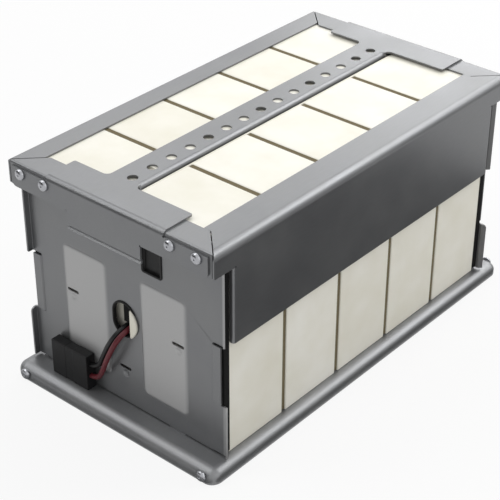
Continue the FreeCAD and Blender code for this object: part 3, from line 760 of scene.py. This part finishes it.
def cut_blank(outline, openings=(), lines=()):
    """Flat blank as points and triangles; lines are extra edges for folds and pressings."""
    points = []
    edges = []
    for line in (*(loop + loop[:1] for loop in (outline, *openings)), *lines):
        first = len(points)
        points += [Vector(p) for p in line]
        edges += [(first + at, first + at + 1) for at in range(len(line) - 1)]
    cut, _, triangles, *_ = delaunay_2d_cdt(points, edges, [], 0, 1e-4, False)
    kept = []
    for triangle in triangles:
        middle = sum((cut[at] for at in triangle), Vector((0, 0))) / 3
        if is_inside(middle, outline) and not any(is_inside(middle, o) for o in openings):
            kept.append(triangle)
    return cut, kept


def crease_places(start, radius, turn=QUARTER):
    """Places across a blank where the steps of a fold lie."""
    return [start + radius * turn * step / BEND_STEPS for step in range(BEND_STEPS + 1)]


def crease_pairs(places, start, stop):
    """Lines from a start to a stop, at these places on both halves of a blank."""
    return [[(start, sign * v), (stop, sign * v)] for v in places for sign in (-1, 1)]


def fold(points, at, along, toward, radius, turn=QUARTER, where=None):
    """Fold what lies past a place on a blank: along points across the fold, toward is
    the side it turns to, and radius is that of the drawn face."""
    at, along, toward = Vector(at), Vector(along), Vector(toward)
    for point in points:
        reach = (point - at).dot(along)
        if reach <= 0 or (where and not where(point)):
            continue
        lift = (point - at).dot(toward)
        angle = min(reach / radius, turn)
        rest = max(reach - radius * turn, 0.0)
        foot = point - along * reach - toward * lift
        outward = along * math.sin(angle) - toward * math.cos(angle)
        tangent = along * math.cos(angle) + toward * math.sin(angle)
        point[:] = foot + toward * radius + outward * (radius - lift) + tangent * rest


def folded_sheet(name, points, faces, finish, **options):
    """Piece of sheet from its blank, once that is folded."""
    piece = clean(link_mesh(name, points, faces, finish), is_blank=True)
    return finished(piece, SHEET, **options)


def smooth_step(low, high, value):
    share = min(max((value - low) / (high - low), 0.0), 1.0)
    return share * share * (3 - 2 * share)


def rounded_distance(u, v, box_u, box_v, radius):
    """How far outside a rounded rectangle a point lies; less than zero inside it."""
    across = max(box_u[0] + radius - u, u - box_u[1] + radius)
    upward = max(box_v[0] + radius - v, v - box_v[1] + radius)
    outside = math.hypot(max(across, 0.0), max(upward, 0.0))
    return outside + min(max(across, upward), 0.0) - radius


def circle(u, v, radius, steps=24):
    turns = (2 * math.pi * step / steps for step in range(steps))
    return [(u + radius * math.cos(turn), v + radius * math.sin(turn)) for turn in turns]


def half_outline(is_open):
    """One half of the blank, from the foot to the top, with flanges that come out as wide
    as they should when they are folded, all or part of the way."""
    flange = BEND * OPEN_TURN + OPEN_FLANGE if is_open else BEND * QUARTER + PLATE_FLANGE - BEND
    low = PLATE_HALF_LOW - BEND + flange
    top = PLATE_HALF_TOP - BEND + flange
    web = PLATE_JOGGLE_X - PLATE_JOGGLE_RUN / 2
    foot, crown = (corner.z for corner in span("front_end_plate"))
    ledge = foot + PLATE_TAB_DROP + PLATE_FOOT_GAP
    (low_z, low_end), (mid_z, mid_end) = PLATE_LOW_Z, PLATE_MID_Z
    top_z, top_end = PLATE_TOP_Z
    corners = [
        (PLATE_TAB_X[0], ledge), (PLATE_TAB_X[0], foot), (PLATE_TAB_X[1], foot),
        (PLATE_TAB_X[1], ledge), (web, ledge), (web, low_z, 0.0), (low, low_z),
        (low, low_end, PLATE_FOOT_R), (web, low_end), (web, mid_z), (PLATE_HALF_LIP, mid_z),
        (PLATE_HALF_LIP, mid_end), (web, mid_end), (web, top_z), (top, top_z, TIP_R),
        (top, top_end, TIP_R), (web, top_end), (web, crown),
    ]
    return [(*corner, CUT_R)[:3] for corner in corners]


def plate_outline(open_side):
    right_half = half_outline(open_side > 0)
    left_half = [(-u, v, radius) for u, v, radius in reversed(half_outline(open_side < 0))]
    return rounded(right_half + left_half, 5)


def plate_lines(open_side):
    lines = []
    for side in (-1, 1):
        turn = OPEN_TURN if side == open_side else QUARTER
        upright = [
            (u, z) for half, z in PLATE_FLANGES for u in crease_places(half - BEND, BEND, turn)
        ]
        upright += [
            (PLATE_JOGGLE_X + PLATE_JOGGLE_RUN * share, PLATE_MID_Z)
            for share in (-0.5, -0.25, 0.0, 0.25, 0.5)
        ]
        lines += [[(side * u, z[0] - OVERRUN), (side * u, z[1] + OVERRUN)] for u, z in upright]
        for grow_by in PANEL_SLOPE:
            u = (side * (PANEL_X[0] - grow_by), side * (PANEL_X[1] + grow_by))
            v = (PANEL_Z[0] - grow_by, PANEL_Z[1] + grow_by)
            loop = rounded(rectangle(u, v, PANEL_CORNER_R + grow_by), 6)
            lines.append(loop + loop[:1])
    for u, v in DIMPLE_PLACES:
        for share in (0.25, 0.5, 0.75, 1.0):
            loop = circle(u, v, DIMPLE_R * share)
            lines.append(loop + loop[:1])
    return lines


def panelled_steel():
    """The same sheet, with its two panels paler and duller, their edges soft. The open flanges,
    on the right, are painted paler too, as a painted highlight."""
    finish, tree, shader = zinc_coated_steel("zinc_coated_end_plate", *STEEL_TONES)
    coordinates = add_node(tree, "TexCoord")
    place = add_node(tree, "SeparateXYZ", {"Vector": coordinates.outputs["Object"]})
    reaches = []
    for axis, limits in ((0, PANEL_X), (2, PANEL_Z)):
        away = place.outputs[axis]
        for operation, other in (
            ("ABSOLUTE", 0.0), ("SUBTRACT", (limits[0] + limits[1]) / 2 * MM),
            ("ABSOLUTE", 0.0), ("SUBTRACT", ((limits[1] - limits[0]) / 2 - PANEL_CORNER_R) * MM),
            ("MAXIMUM", 0.0),
        ):
            away = add_node(tree, "Math", {0: away, 1: other}, operation=operation)
        reaches.append(away)
    corner = add_node(tree, "CombineXYZ", {"X": reaches[0], "Y": reaches[1]})
    length = add_node(tree, "VectorMath", {0: corner}, operation="LENGTH")
    fade = [(PANEL_CORNER_R + edge) * MM for edge in PANEL_FADE]
    panels = between(tree, length.outputs[1], 1.0, 0.0, fade)
    panels.interpolation_type = "SMOOTHSTEP"
    # Painted highlight: past the plate's right edge the flanges are painted paler.
    painted_sheen = between(tree, place.outputs[0], 0.0, PAINTED_SHEEN, [x * MM for x in PAINTED_SHEEN_X])
    mask = add_node(tree, "Math", {0: panels, 1: painted_sheen}, operation="MAXIMUM")
    for kind, socket, paler, first, result in (
        ("RGBA", "Base Color", srgb("#adadad"), 6, 2), ("FLOAT", "Roughness", 0.5, 2, 0),
    ):
        under = shader.inputs[socket].links[0].from_socket
        sockets = {0: mask, first: under, first + 1: paler}
        mix = add_node(tree, "Mix", sockets, data_type=kind)
        feed(shader, {socket: mix.outputs[result]})
    return finish


def end_plate(name, openings, finish, open_side):
    """Plate at the front; the drawn face is its back, against the blocks. The flanges on
    the open side are folded less far."""
    back_y = span("front_end_plate")[1].y
    lances = [
        rounded(rectangle((u - LANCE_W / 2, u + LANCE_W / 2),
                          (v - LANCE_H / 2, v + LANCE_H / 2), LANCE_H * 0.45), 4)
        for u, v in LANCE_PLACES
    ]
    cut, triangles = cut_blank(
        plate_outline(open_side), [*lances, *openings], plate_lines(open_side)
    )
    knee = (PLATE_JOGGLE_X - PLATE_JOGGLE_RUN / 2, PLATE_JOGGLE_X + PLATE_JOGGLE_RUN / 2)
    points = []
    for u, v in cut:
        y = back_y
        for side in (-1, 1):
            gap = rounded_distance(side * u, v, PANEL_X, PANEL_Z, PANEL_CORNER_R)
            y -= PANEL_RISE * (1 - smooth_step(PANEL_SLOPE[0], PANEL_SLOPE[-1], gap))
        for place in DIMPLE_PLACES:
            away = (Vector((u, v)) - Vector(place)).length / DIMPLE_R
            y += DIMPLE_DEPTH * max(0.0, 1 - away * away)
        if PLATE_MID_Z[0] - 2 * OVERRUN < v < PLATE_MID_Z[1] + 2 * OVERRUN:
            y -= PLATE_JOGGLE * smooth_step(*knee, abs(u))
        points.append(Vector((u, y, v)))
    for half, z in PLATE_FLANGES:
        for side in (-1, 1):
            fold(
                points, (side * (half - BEND), back_y, 0), (side, 0, 0), (0, -1, 0), BEND,
                OPEN_TURN if side == open_side else QUARTER,
                where=lambda p, z=z: z[0] - 2 * OVERRUN < p.z < z[1] + 2 * OVERRUN,
            )
    return folded_sheet(name, points, triangles, finish, side=1.0)


cable_hole = rounded(rectangle(*CABLE_HOLE), 16)
service_hole = rounded(rectangle(*SERVICE_HOLE))
plate_finish = panelled_steel()
front_plate = end_plate("front_plate", [cable_hole, service_hole], plate_finish, 1)
hand_over(front_plate, "zinc_sheet_steel", "front_end_plate")
rear_plate = turn_round(end_plate("rear_plate", [], plate_finish, -1))
hand_over(rear_plate, "zinc_sheet_steel", "rear_end_plate")


# Edge trim and blank plug: a strip of soft black rubber is pushed onto the edge of the
# leads' hole, a cream guide clips into its right side to keep the leads off the edge,
# and a dished nylon plug closes the service hole.

TRIM_LIP = 1.0
TRIM_WALL = 0.9
HOLE_STEPS = 12
GUIDE_X = (7.2, 14.2)
GUIDE_Z = (77.5, 103.4)
GUIDE_PROUD = 1.2
GUIDE_DEPTH = 0.9
GUIDE_CROWN = 1.5
GUIDE_STEPS = 32
BLANK_RIM = 0.8
BLANK_DEPTH = 2.4
BLACK_MOULDING = {"IOR": 1.5, "Specular_IOR_Level": 0.25}

# Black moulded rubber and nylon: near black, dulled by a fine even texture.
rubber_finish = clouded(
    "black_trim_rubber", "#0d0d0d", "#161616", 6.0, (0.57, 0.69), (0.8, 0.03), **BLACK_MOULDING
)
nylon_finish = clouded(
    "black_moulded_nylon", "#090909", "#0f0f10", 6.0, (0.37, 0.49), (0.5, 0.03),
    **BLACK_MOULDING,
)


def hole_loop(hole, grow_by, y):
    """Loop round a hole in the front plate, grown from its edge and set at a depth."""
    (u0, u1), (v0, v1), radius = hole
    corners = rectangle(
        (u0 - grow_by, u1 + grow_by), (v0 - grow_by, v1 + grow_by), max(radius + grow_by, 0.2)
    )
    return [(x, y, z) for x, z in rounded(corners, HOLE_STEPS)]


trim_low, trim_high = span("hole_edge_trim")
trim_middle = (trim_low.y + trim_high.y) / 2
trim_half = (trim_high.y - trim_low.y) / 2
trim_section = [
    (-TRIM_WALL * 0.7, 0.0), (-TRIM_WALL, 0.55), (-TRIM_WALL * 0.6, 1.0),
    (TRIM_LIP * 0.4, 1.0), (TRIM_LIP, 0.82), (TRIM_LIP, 0.45),
]
trim_profile = [(grow_by, -share) for grow_by, share in trim_section] + trim_section[:0:-1]
trim_loops = [
    hole_loop(CABLE_HOLE, grow_by, trim_middle + share * trim_half)
    for grow_by, share in trim_profile
]
trim = loft("hole_edge_rubber", trim_loops, rubber_finish, close=True)
hand_over(finished(trim, edge=0.3), "trim_rubber", "hole_edge_trim")
guide_front = trim_low.y - GUIDE_PROUD
guide_outline = [
    (GUIDE_X[0] + (GUIDE_X[1] - GUIDE_X[0]) * math.sin(math.pi * share) ** 0.75,
     GUIDE_Z[1] - (GUIDE_Z[1] - GUIDE_Z[0]) * share)
    for share in (step / GUIDE_STEPS for step in range(GUIDE_STEPS + 1))
]
guide_middle = (GUIDE_X[0] + GUIDE_CROWN, (GUIDE_Z[0] + GUIDE_Z[1]) / 2)
guide_loops = [
    [(guide_middle[0] + (x - guide_middle[0]) * share, y,
      guide_middle[1] + (z - guide_middle[1]) * share) for x, z in guide_outline]
    for share, y in (
        (1.0, trim_low.y + GUIDE_DEPTH), (1.0, guide_front + 0.9), (0.97, guide_front + 0.35),
        (0.9, guide_front + 0.05), (0.8, guide_front),
    )
]
guide = finished(loft("cable_guide", guide_loops, block_finish), edge=0.0)
hand_over(guide, "block_case_plastic")
blank_low, blank_high = span("service_hole_plug")
front_y = blank_low.y
blank_steps = [
    (0.0, blank_high.y), (0.0, front_y + BLANK_RIM), (BLANK_RIM, front_y + BLANK_RIM),
    (BLANK_RIM, front_y + 0.25), (BLANK_RIM - 0.25, front_y), (-BLANK_RIM, front_y),
    (-BLANK_RIM - 0.3, front_y + 0.3), (-BLANK_RIM - 0.9, front_y + BLANK_DEPTH),
    (-BLANK_RIM - 2.4, front_y + BLANK_DEPTH),
]
blank_loops = [hole_loop(SERVICE_HOLE, grow_by, y) for grow_by, y in blank_steps]
blank = loft("service_hole_blank", blank_loops, nylon_finish)
hand_over(finished(blank, edge=0.0), "blank_plug_plastic", "service_hole_plug")


# Top frame: two folded side rails with long skirts and two cross rails, mitred at the
# corners. The right-hand rail has the wider flange and the softer fold.

SIDE_BEND = 6.6
LEFT_FLANGE = 19.5
RIGHT_FLANGE = 29.0
CROSS_FLANGE = 22.0
FRAME_LIP = 20.0
FLANGE_R = 0.5
SIDE_LIP_R = 1.0
END_LIP_R = 0.8
SKIRT_INSET = 20.0
SKIRT_RETURN = 4.3
RETURN_BEND = 2.2
RETURN_SLIT = 0.3
RETURN_RELIEF = 0.7
MITRE_GAP = 1.2
DOWN = (0, 0, -1)


def fold_places(start, radius):
    """Steps of a right-angled fold, as places on the blank and on the folded sheet."""
    turns = (QUARTER * step / BEND_STEPS for step in range(BEND_STEPS + 1))
    return [(start + radius * turn, start + radius * math.sin(turn)) for turn in turns]


def side_rail(name, flange, side, bend):
    """Right-hand rail, or its mirror image: flange, long skirt and short returns."""
    low, high = span("right_side_rail")
    half_w, half_l, top, foot = high.x, high.y, high.z, low.z
    start = half_w - bend
    lip = start + bend * QUARTER + FRAME_LIP - bend
    hem = start + bend * QUARTER + top - foot - bend
    inner = half_l - CROSS_FLANGE
    turn = half_l - SKIRT_INSET - RETURN_BEND
    tip = turn + RETURN_BEND * QUARTER + SKIRT_RETURN - RETURN_BEND
    end = [(half_w - flange, max(inner, half_l - flange), FLANGE_R)]
    if flange > CROSS_FLANGE:
        end.append((half_w - CROSS_FLANGE, inner, 0.0))
    end += [(flat, half_l - half_w + x, 0.0) for flat, x in fold_places(start, bend)]
    end += [
        (lip, half_l, SIDE_LIP_R), (lip, turn, 0.0), (lip + RETURN_SLIT, turn, 0.0),
        (lip + RETURN_SLIT, tip, END_LIP_R), (hem, tip, END_LIP_R),
    ]
    outline = rounded([(u, -v, radius) for u, v, radius in end] + end[::-1])
    reliefs = [circle(lip, sign * turn, RETURN_RELIEF) for sign in (-1, 1)]
    lines = [[(u, -half_l), (u, half_l)] for u in crease_places(start, bend)]
    lines += crease_pairs(crease_places(turn, RETURN_BEND), lip + RETURN_SLIT, hem)
    cut, triangles = cut_blank(outline, reliefs, lines)
    points = [Vector((u, v, top)) for u, v in cut]
    for sign in (-1, 1):
        fold(
            points, (0, sign * turn, top), (0, sign, 0), DOWN, RETURN_BEND,
            where=lambda p: p.x > lip + RETURN_SLIT - OVERRUN,
        )
    fold(points, (start, 0, top), (1, 0, 0), DOWN, bend)
    if side < 0:
        points = [Vector((-p.x, p.y, p.z)) for p in points]
        triangles = [triangle[::-1] for triangle in triangles]
    return folded_sheet(name, points, triangles, steel_finish)


def cross_rail(name):
    """Front rail: flange and lip, mitred against the side rails."""
    half_w, half_l, top = span("right_side_rail")[1]
    start = half_l - BEND
    lip = start + BEND * QUARTER + FRAME_LIP - BEND
    edge = half_w - SHEET - MITRE_GAP / 2
    end = [(half_w - CROSS_FLANGE - MITRE_GAP, CROSS_FLANGE - half_l, 0.0)]
    end += [
        (min(half_w - half_l + y - MITRE_GAP, edge), -flat, 0.0)
        for flat, y in fold_places(start, BEND)
    ]
    end.append((edge, -lip, END_LIP_R))
    outline = rounded([(-u, v, radius) for u, v, radius in end] + end[::-1])[::-1]
    lines = [[(-half_w, -v), (half_w, -v)] for v in crease_places(start, BEND)]
    cut, triangles = cut_blank(outline, [], lines)
    points = [Vector((u, v, top)) for u, v in cut]
    fold(points, (0, -start, top), (0, -1, 0), DOWN, BEND)
    return folded_sheet(name, points, triangles, steel_finish)


for piece, node in (
    (side_rail("right_rail", RIGHT_FLANGE, 1, SIDE_BEND), "right_side_rail"),
    (side_rail("left_rail", LEFT_FLANGE, -1, BEND), "left_side_rail"),
    (cross_rail("front_rail"), "front_cross_rail"),
    (turn_round(cross_rail("rear_rail")), "rear_cross_rail"),
):
    hand_over(piece, "zinc_sheet_steel", node)


# Hold-down bracket: one folded sheet over the top frame. Its perforated strip presses on
# both rows, over cream pads on the seams, and at each end its wide head folds down into
# two screwed arms and an apron. A cream edge strip lines the channel beside it.

HEAD_BEND = 4.5
STRIP_X = (-27.0, 1.4)
STRIP_FOLD = 3.9
STRIP_WEB = 9.0
HEAD_X = (-61.0, 57.0)
HEAD_DEPTH = 30.5
HEAD_FILLET = 5.0
STRIP_FILLET = 4.0
HEAD_CORNER = 1.5
ARM_HALF_W = 98.0
ARM_CORNER = 4.0
APRON_X = (-40.0, 34.0)
SHOULDER_R = 1.0
APRON_R = 0.6
RELIEF_R = 0.8
HEM_FLARE = 2.7
HEM_CRIMP = 2.1
HEM_BEND = 0.8
CRIMP_BEND = 1.6
HEM_TURN = math.radians(40)
STRIP_HOLES = 15
STRIP_HOLE_R = 4.2
STRIP_HOLE_PITCH = 20.6
STRIP_HOLE_X = -10.5
STRIP_PAD_L = 46.0
STRIP_PAD_INSET = 1.5
EDGE_STRIP_X = (2.8, 4.45)
EDGE_STRIP_DROP = (0.3, 9.0)
EDGE_STRIP_END = 6.0
UP = (0, 0, 1)


def strip_holes():
    tree, given, output = new_tree(
        "strip_perforations",
        {"Count": "Int", "First": "Vector", "Step": "Vector", "Radius": "Float",
         "Depth": "Float", "Material": "Material"},
    )
    radius, depth = given.outputs["Radius"], given.outputs["Depth"]
    punch = add_node(tree, "MeshCylinder", {"Vertices": 32, "Radius": radius, "Depth": depth})
    row = set_out(tree, given, punch)
    punches = add_node(tree, "RealizeInstances", {"Geometry": row})
    sockets = {"Mesh 1": given.outputs["Geometry"], "Mesh 2": punches}
    cut = add_node(tree, "MeshBoolean", sockets, operation="DIFFERENCE")
    end_tree(tree, given, output, cut)
    return tree


def hold_down_bracket():
    low, high = span("hold_down_bracket")
    face, top, foot = high.y, high.z, low.z
    start = face - HEAD_BEND
    shoulder = start + HEAD_BEND * QUARTER
    lip = shoulder + SHEET + FRAME_LIP - HEAD_BEND
    apron = shoulder + (top - HEAD_BEND) - foot
    inner = face - HEAD_DEPTH
    crease = STRIP_X[1] - STRIP_FOLD
    web = crease + STRIP_FOLD * QUARTER + STRIP_WEB - STRIP_FOLD
    web_end = inner - HEAD_FILLET - 1.0
    left, right = (
        [(strip, inner, fillet), (head, inner, HEAD_CORNER), (head, shoulder, 0.0),
         (arm, shoulder, SHOULDER_R), (arm, lip, ARM_CORNER), (edge, lip, APRON_R),
         (edge, apron, APRON_R)]
        for strip, fillet, head, arm, edge in zip(
            STRIP_X, (HEAD_FILLET, STRIP_FILLET), HEAD_X, (-ARM_HALF_W, ARM_HALF_W), APRON_X
        )
    )
    half = left + right[::-1]
    half += [(STRIP_X[1], web_end + 0.6, 0.0), (web, web_end, HEAD_CORNER)]
    outline = rounded(half + [(u, -v, radius) for u, v, radius in reversed(half)])[::-1]
    notches = [(u, shoulder) for u in HEAD_X] + [(u, lip) for u in APRON_X]
    reliefs = [circle(u, sign * v, RELIEF_R) for sign in (-1, 1) for u, v in notches]
    flare = apron - HEM_FLARE
    crimp = flare - HEM_CRIMP
    hem = crease_places(flare, HEM_BEND, 2 * HEM_TURN)
    hem += crease_places(crimp, CRIMP_BEND, HEM_TURN)
    lines = crease_pairs(crease_places(start, HEAD_BEND), -ARM_HALF_W, ARM_HALF_W)
    lines += crease_pairs(hem, *APRON_X)
    lines += [[(u, -web_end), (u, web_end)] for u in crease_places(crease, STRIP_FOLD)]
    cut, triangles = cut_blank(outline, reliefs, lines)
    points = [Vector((u, v, top)) for u, v in cut]
    fold(
        points, (crease, 0, top), (1, 0, 0), DOWN, STRIP_FOLD,
        where=lambda p: abs(p.y) < web_end + 0.5,
    )
    for sign in (-1, 1):
        for place, toward, radius, turn in (
            (flare, UP, HEM_BEND, 2 * HEM_TURN), (crimp, DOWN, CRIMP_BEND, HEM_TURN),
            (start, DOWN, HEAD_BEND, QUARTER),
        ):
            fold(points, (0, sign * place, top), (0, sign, 0), toward, radius, turn)
    piece = folded_sheet("folded_hold_down_bracket", points, triangles, steel_finish, edge=0.0)
    run = (STRIP_HOLES - 1) * STRIP_HOLE_PITCH
    grow(
        piece, strip_holes(), Count=STRIP_HOLES,
        First=Vector((STRIP_HOLE_X, -run / 2, top)) * MM,
        Step=Vector((0, STRIP_HOLE_PITCH, 0)) * MM, Radius=STRIP_HOLE_R * MM,
        Depth=3 * SHEET * MM, Material=steel_finish,
    )
    return finished(piece)


hand_over(hold_down_bracket(), "zinc_sheet_steel", "hold_down_bracket")
low, high = span("battery_left_1")
seam_y = (high.y + span("battery_left_2")[0].y) / 2
pad_top = span("hold_down_bracket")[1].z - SHEET
pads = row_of(
    "strip_pads", Vector((STRIP_X[0] + STRIP_PAD_INSET, seam_y - STRIP_PAD_L / 2, high.z)),
    Vector((high.x - STRIP_PAD_INSET, seam_y + STRIP_PAD_L / 2, pad_top)), ROW_COUNT - 1,
    TONE_SEED, block_finish,
)
hand_over(pads, "block_case_plastic")
end_y = span("front_end_plate")[1].y + EDGE_STRIP_END
edge_strip = bar(
    "channel_edge_strip", Vector((EDGE_STRIP_X[0], end_y, high.z - EDGE_STRIP_DROP[1])),
    Vector((EDGE_STRIP_X[1], -end_y, high.z - EDGE_STRIP_DROP[0])), block_finish,
)
hand_over(finished(edge_strip, edge=0.3), "block_case_plastic")


# Screws: M5 thread-forming pan heads in bright zinc, four through the bracket's arms and
# two through the tray's lip at each end. Each head is domed, with a cross recess.

HEAD_R = 4.6
HEAD_H = 3.0
HEAD_RIM = 0.8
RECESS_W = 0.8
RECESS_L = 2.6
RECESS_DEPTH = 0.9
SHANK_R = 2.5
SHANK_L = 8.0
SCREW_PITCH = 25.0
HEAD_STEPS = 32

# Bright zinc plate over a rolled thread and a headed blank: a clean soft mirror.
screw_finish = clouded(
    "bright_zinc_plate", "#a3a4a8", "#b0b1b5", 3.0, (0.22, 0.34), Metallic=1.0
)


def one_screw():
    """Screw at the origin, with its head towards the front."""
    profile = [
        (SHANK_R * 0.7, SHANK_L), (SHANK_R, SHANK_L - 0.8), (SHANK_R, 0.0),
        (HEAD_R * 0.97, 0.0), (HEAD_R, -0.3), (HEAD_R, -HEAD_RIM),
    ]
    for share in (0.25, 0.45, 0.62, 0.77, 0.9):
        turn = share * QUARTER
        dome = HEAD_RIM + (HEAD_H - HEAD_RIM) * math.sin(turn)
        profile.append((HEAD_R * math.cos(turn) ** 0.8, -dome))
    profile.append((HEAD_R * 0.12, -HEAD_H))
    loops = [[(x, y, z) for x, z in circle(0, 0, r, HEAD_STEPS)] for r, y in profile]
    screw = loft("pan_head_screw", loops, screw_finish)
    w, reach = RECESS_W / 2, RECESS_L / 2
    cross = [(-w, -reach), (w, -reach), (w, -w)]
    for _ in range(3):
        cross += [(-z, x) for x, z in cross[-3:]]
    depths = ((1.1, -HEAD_H - 0.5), (0.5, RECESS_DEPTH - HEAD_H))
    loops = [[(x * share, y, z * share) for x, z in cross] for share, y in depths]
    bit = loft("recess_punch", loops, screw_finish)
    modify(screw, "BOOLEAN", object=bit, solver="EXACT")
    plain(screw)
    bpy.data.objects.remove(bit)
    return finished(screw, edge=0.08)


screw_tree, given, output = new_tree("screw_row", {"Screw": "Object", "Material": "Material"})
shape = add_node(screw_tree, "ObjectInfo", {"Object": given.outputs["Screw"]})
sockets = {"Points": given.outputs["Geometry"], "Instance": shape.outputs["Geometry"]}
screw_set = add_node(screw_tree, "InstanceOnPoints", sockets)
end_tree(screw_tree, given, output, screw_set)
pattern_screw = one_screw()
for row in ("frame_screws", "tray_screws"):
    low, high = span(f"front_{row}")
    outer = high.x - HEAD_R
    reaches = (outer, outer - SCREW_PITCH) if row == "frame_screws" else (outer,)
    places = [
        (side * x, low.y + HEAD_H, (low.z + high.z) / 2) for x in reaches for side in (-1, 1)
    ]
    for end in ("front", "rear"):
        screws = link_mesh(f"{end}_{row}_set", places, [], screw_finish)
        grow(screws, screw_tree, Screw=pattern_screw, Material=screw_finish)
        if end == "rear":
            turn_round(screws)
        hand_over(screws, "plated_fasteners", f"{end}_{row}")
bpy.data.objects.remove(pattern_screw)


# Connector: a flat two-pole housing that stands on the tray's ledge, with its mouth to
# the left. It is moulded in glass-filled polycarbonate: a soft, slightly grey black.

PLUG_WALL = 1.7
PLUG_MOUTH = 11.0
PLUG_EDGE = 0.9
PLUG_BAND = (15.0, 24.0)
PLUG_BAND_DEPTH = 0.25

plug_finish = clouded(
    "black_polycarbonate", "#101011", "#19191a", 6.0, (0.45, 0.57), (0.6, 0.03),
    **BLACK_MOULDING,
)


def plug_loop(x, inset, radius):
    low, high = span("connector_housing")
    outline = rounded(
        rectangle((low.y + inset, high.y - inset), (low.z + inset, high.z - inset), radius), 5
    )
    return [(x, y, z) for y, z in outline]


mouth_x, tail_x = (corner.x for corner in span("connector_housing"))
band = [mouth_x + place for place in PLUG_BAND]
plug_steps = [
    (mouth_x + PLUG_MOUTH, PLUG_WALL + 0.3, 0.4), (mouth_x + 0.5, PLUG_WALL, 0.4),
    (mouth_x, PLUG_WALL - 0.4, 0.6), (mouth_x, PLUG_EDGE * 0.6, PLUG_EDGE),
    (mouth_x + PLUG_EDGE * 0.3, PLUG_EDGE * 0.2, PLUG_EDGE),
    (mouth_x + PLUG_EDGE, 0.0, PLUG_EDGE),
    (band[0], 0.0, PLUG_EDGE), (band[0] + 0.3, PLUG_BAND_DEPTH, PLUG_EDGE),
    (band[1] - 0.3, PLUG_BAND_DEPTH, PLUG_EDGE), (band[1], 0.0, PLUG_EDGE),
    (tail_x - PLUG_EDGE, 0.0, PLUG_EDGE),
    (tail_x - PLUG_EDGE * 0.3, PLUG_EDGE * 0.2, PLUG_EDGE),
    (tail_x, PLUG_EDGE * 0.8, PLUG_EDGE),
]
plug = loft("two_pole_connector", [plug_loop(*step) for step in plug_steps], plug_finish)
plug = finished(plug, edge=0.12)
hand_over(plug, "connector_plastic", "connector_housing")


# Terminals and links: the small live parts between the rows. They are drawn in CAD only,
# and take their real finishes here: brass seats, tinned copper links and lugs.

# Bare or tinned metal, with the faint clouding of handling.
brass_finish = clouded(
    "brass_terminal_seat", "#b08d4a", "#c4a25c", 4.0, (0.3, 0.42), Metallic=1.0
)
tinned_finish = clouded("tinned_copper", "#b5b3ad", "#c8c6c0", 4.0, (0.28, 0.4), Metallic=1.0)
for finish, names in (
    (brass_finish, ("left_terminal_seats", "right_terminal_seats")),
    (tinned_finish, ("left_row_links", "right_row_links", "rear_cross_link", "red_lead_lug",
                     "black_lead_lug", "connector_contacts")),
):
    for name in names:
        for material_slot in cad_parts[name].material_slots:
            material_slot.material = finish

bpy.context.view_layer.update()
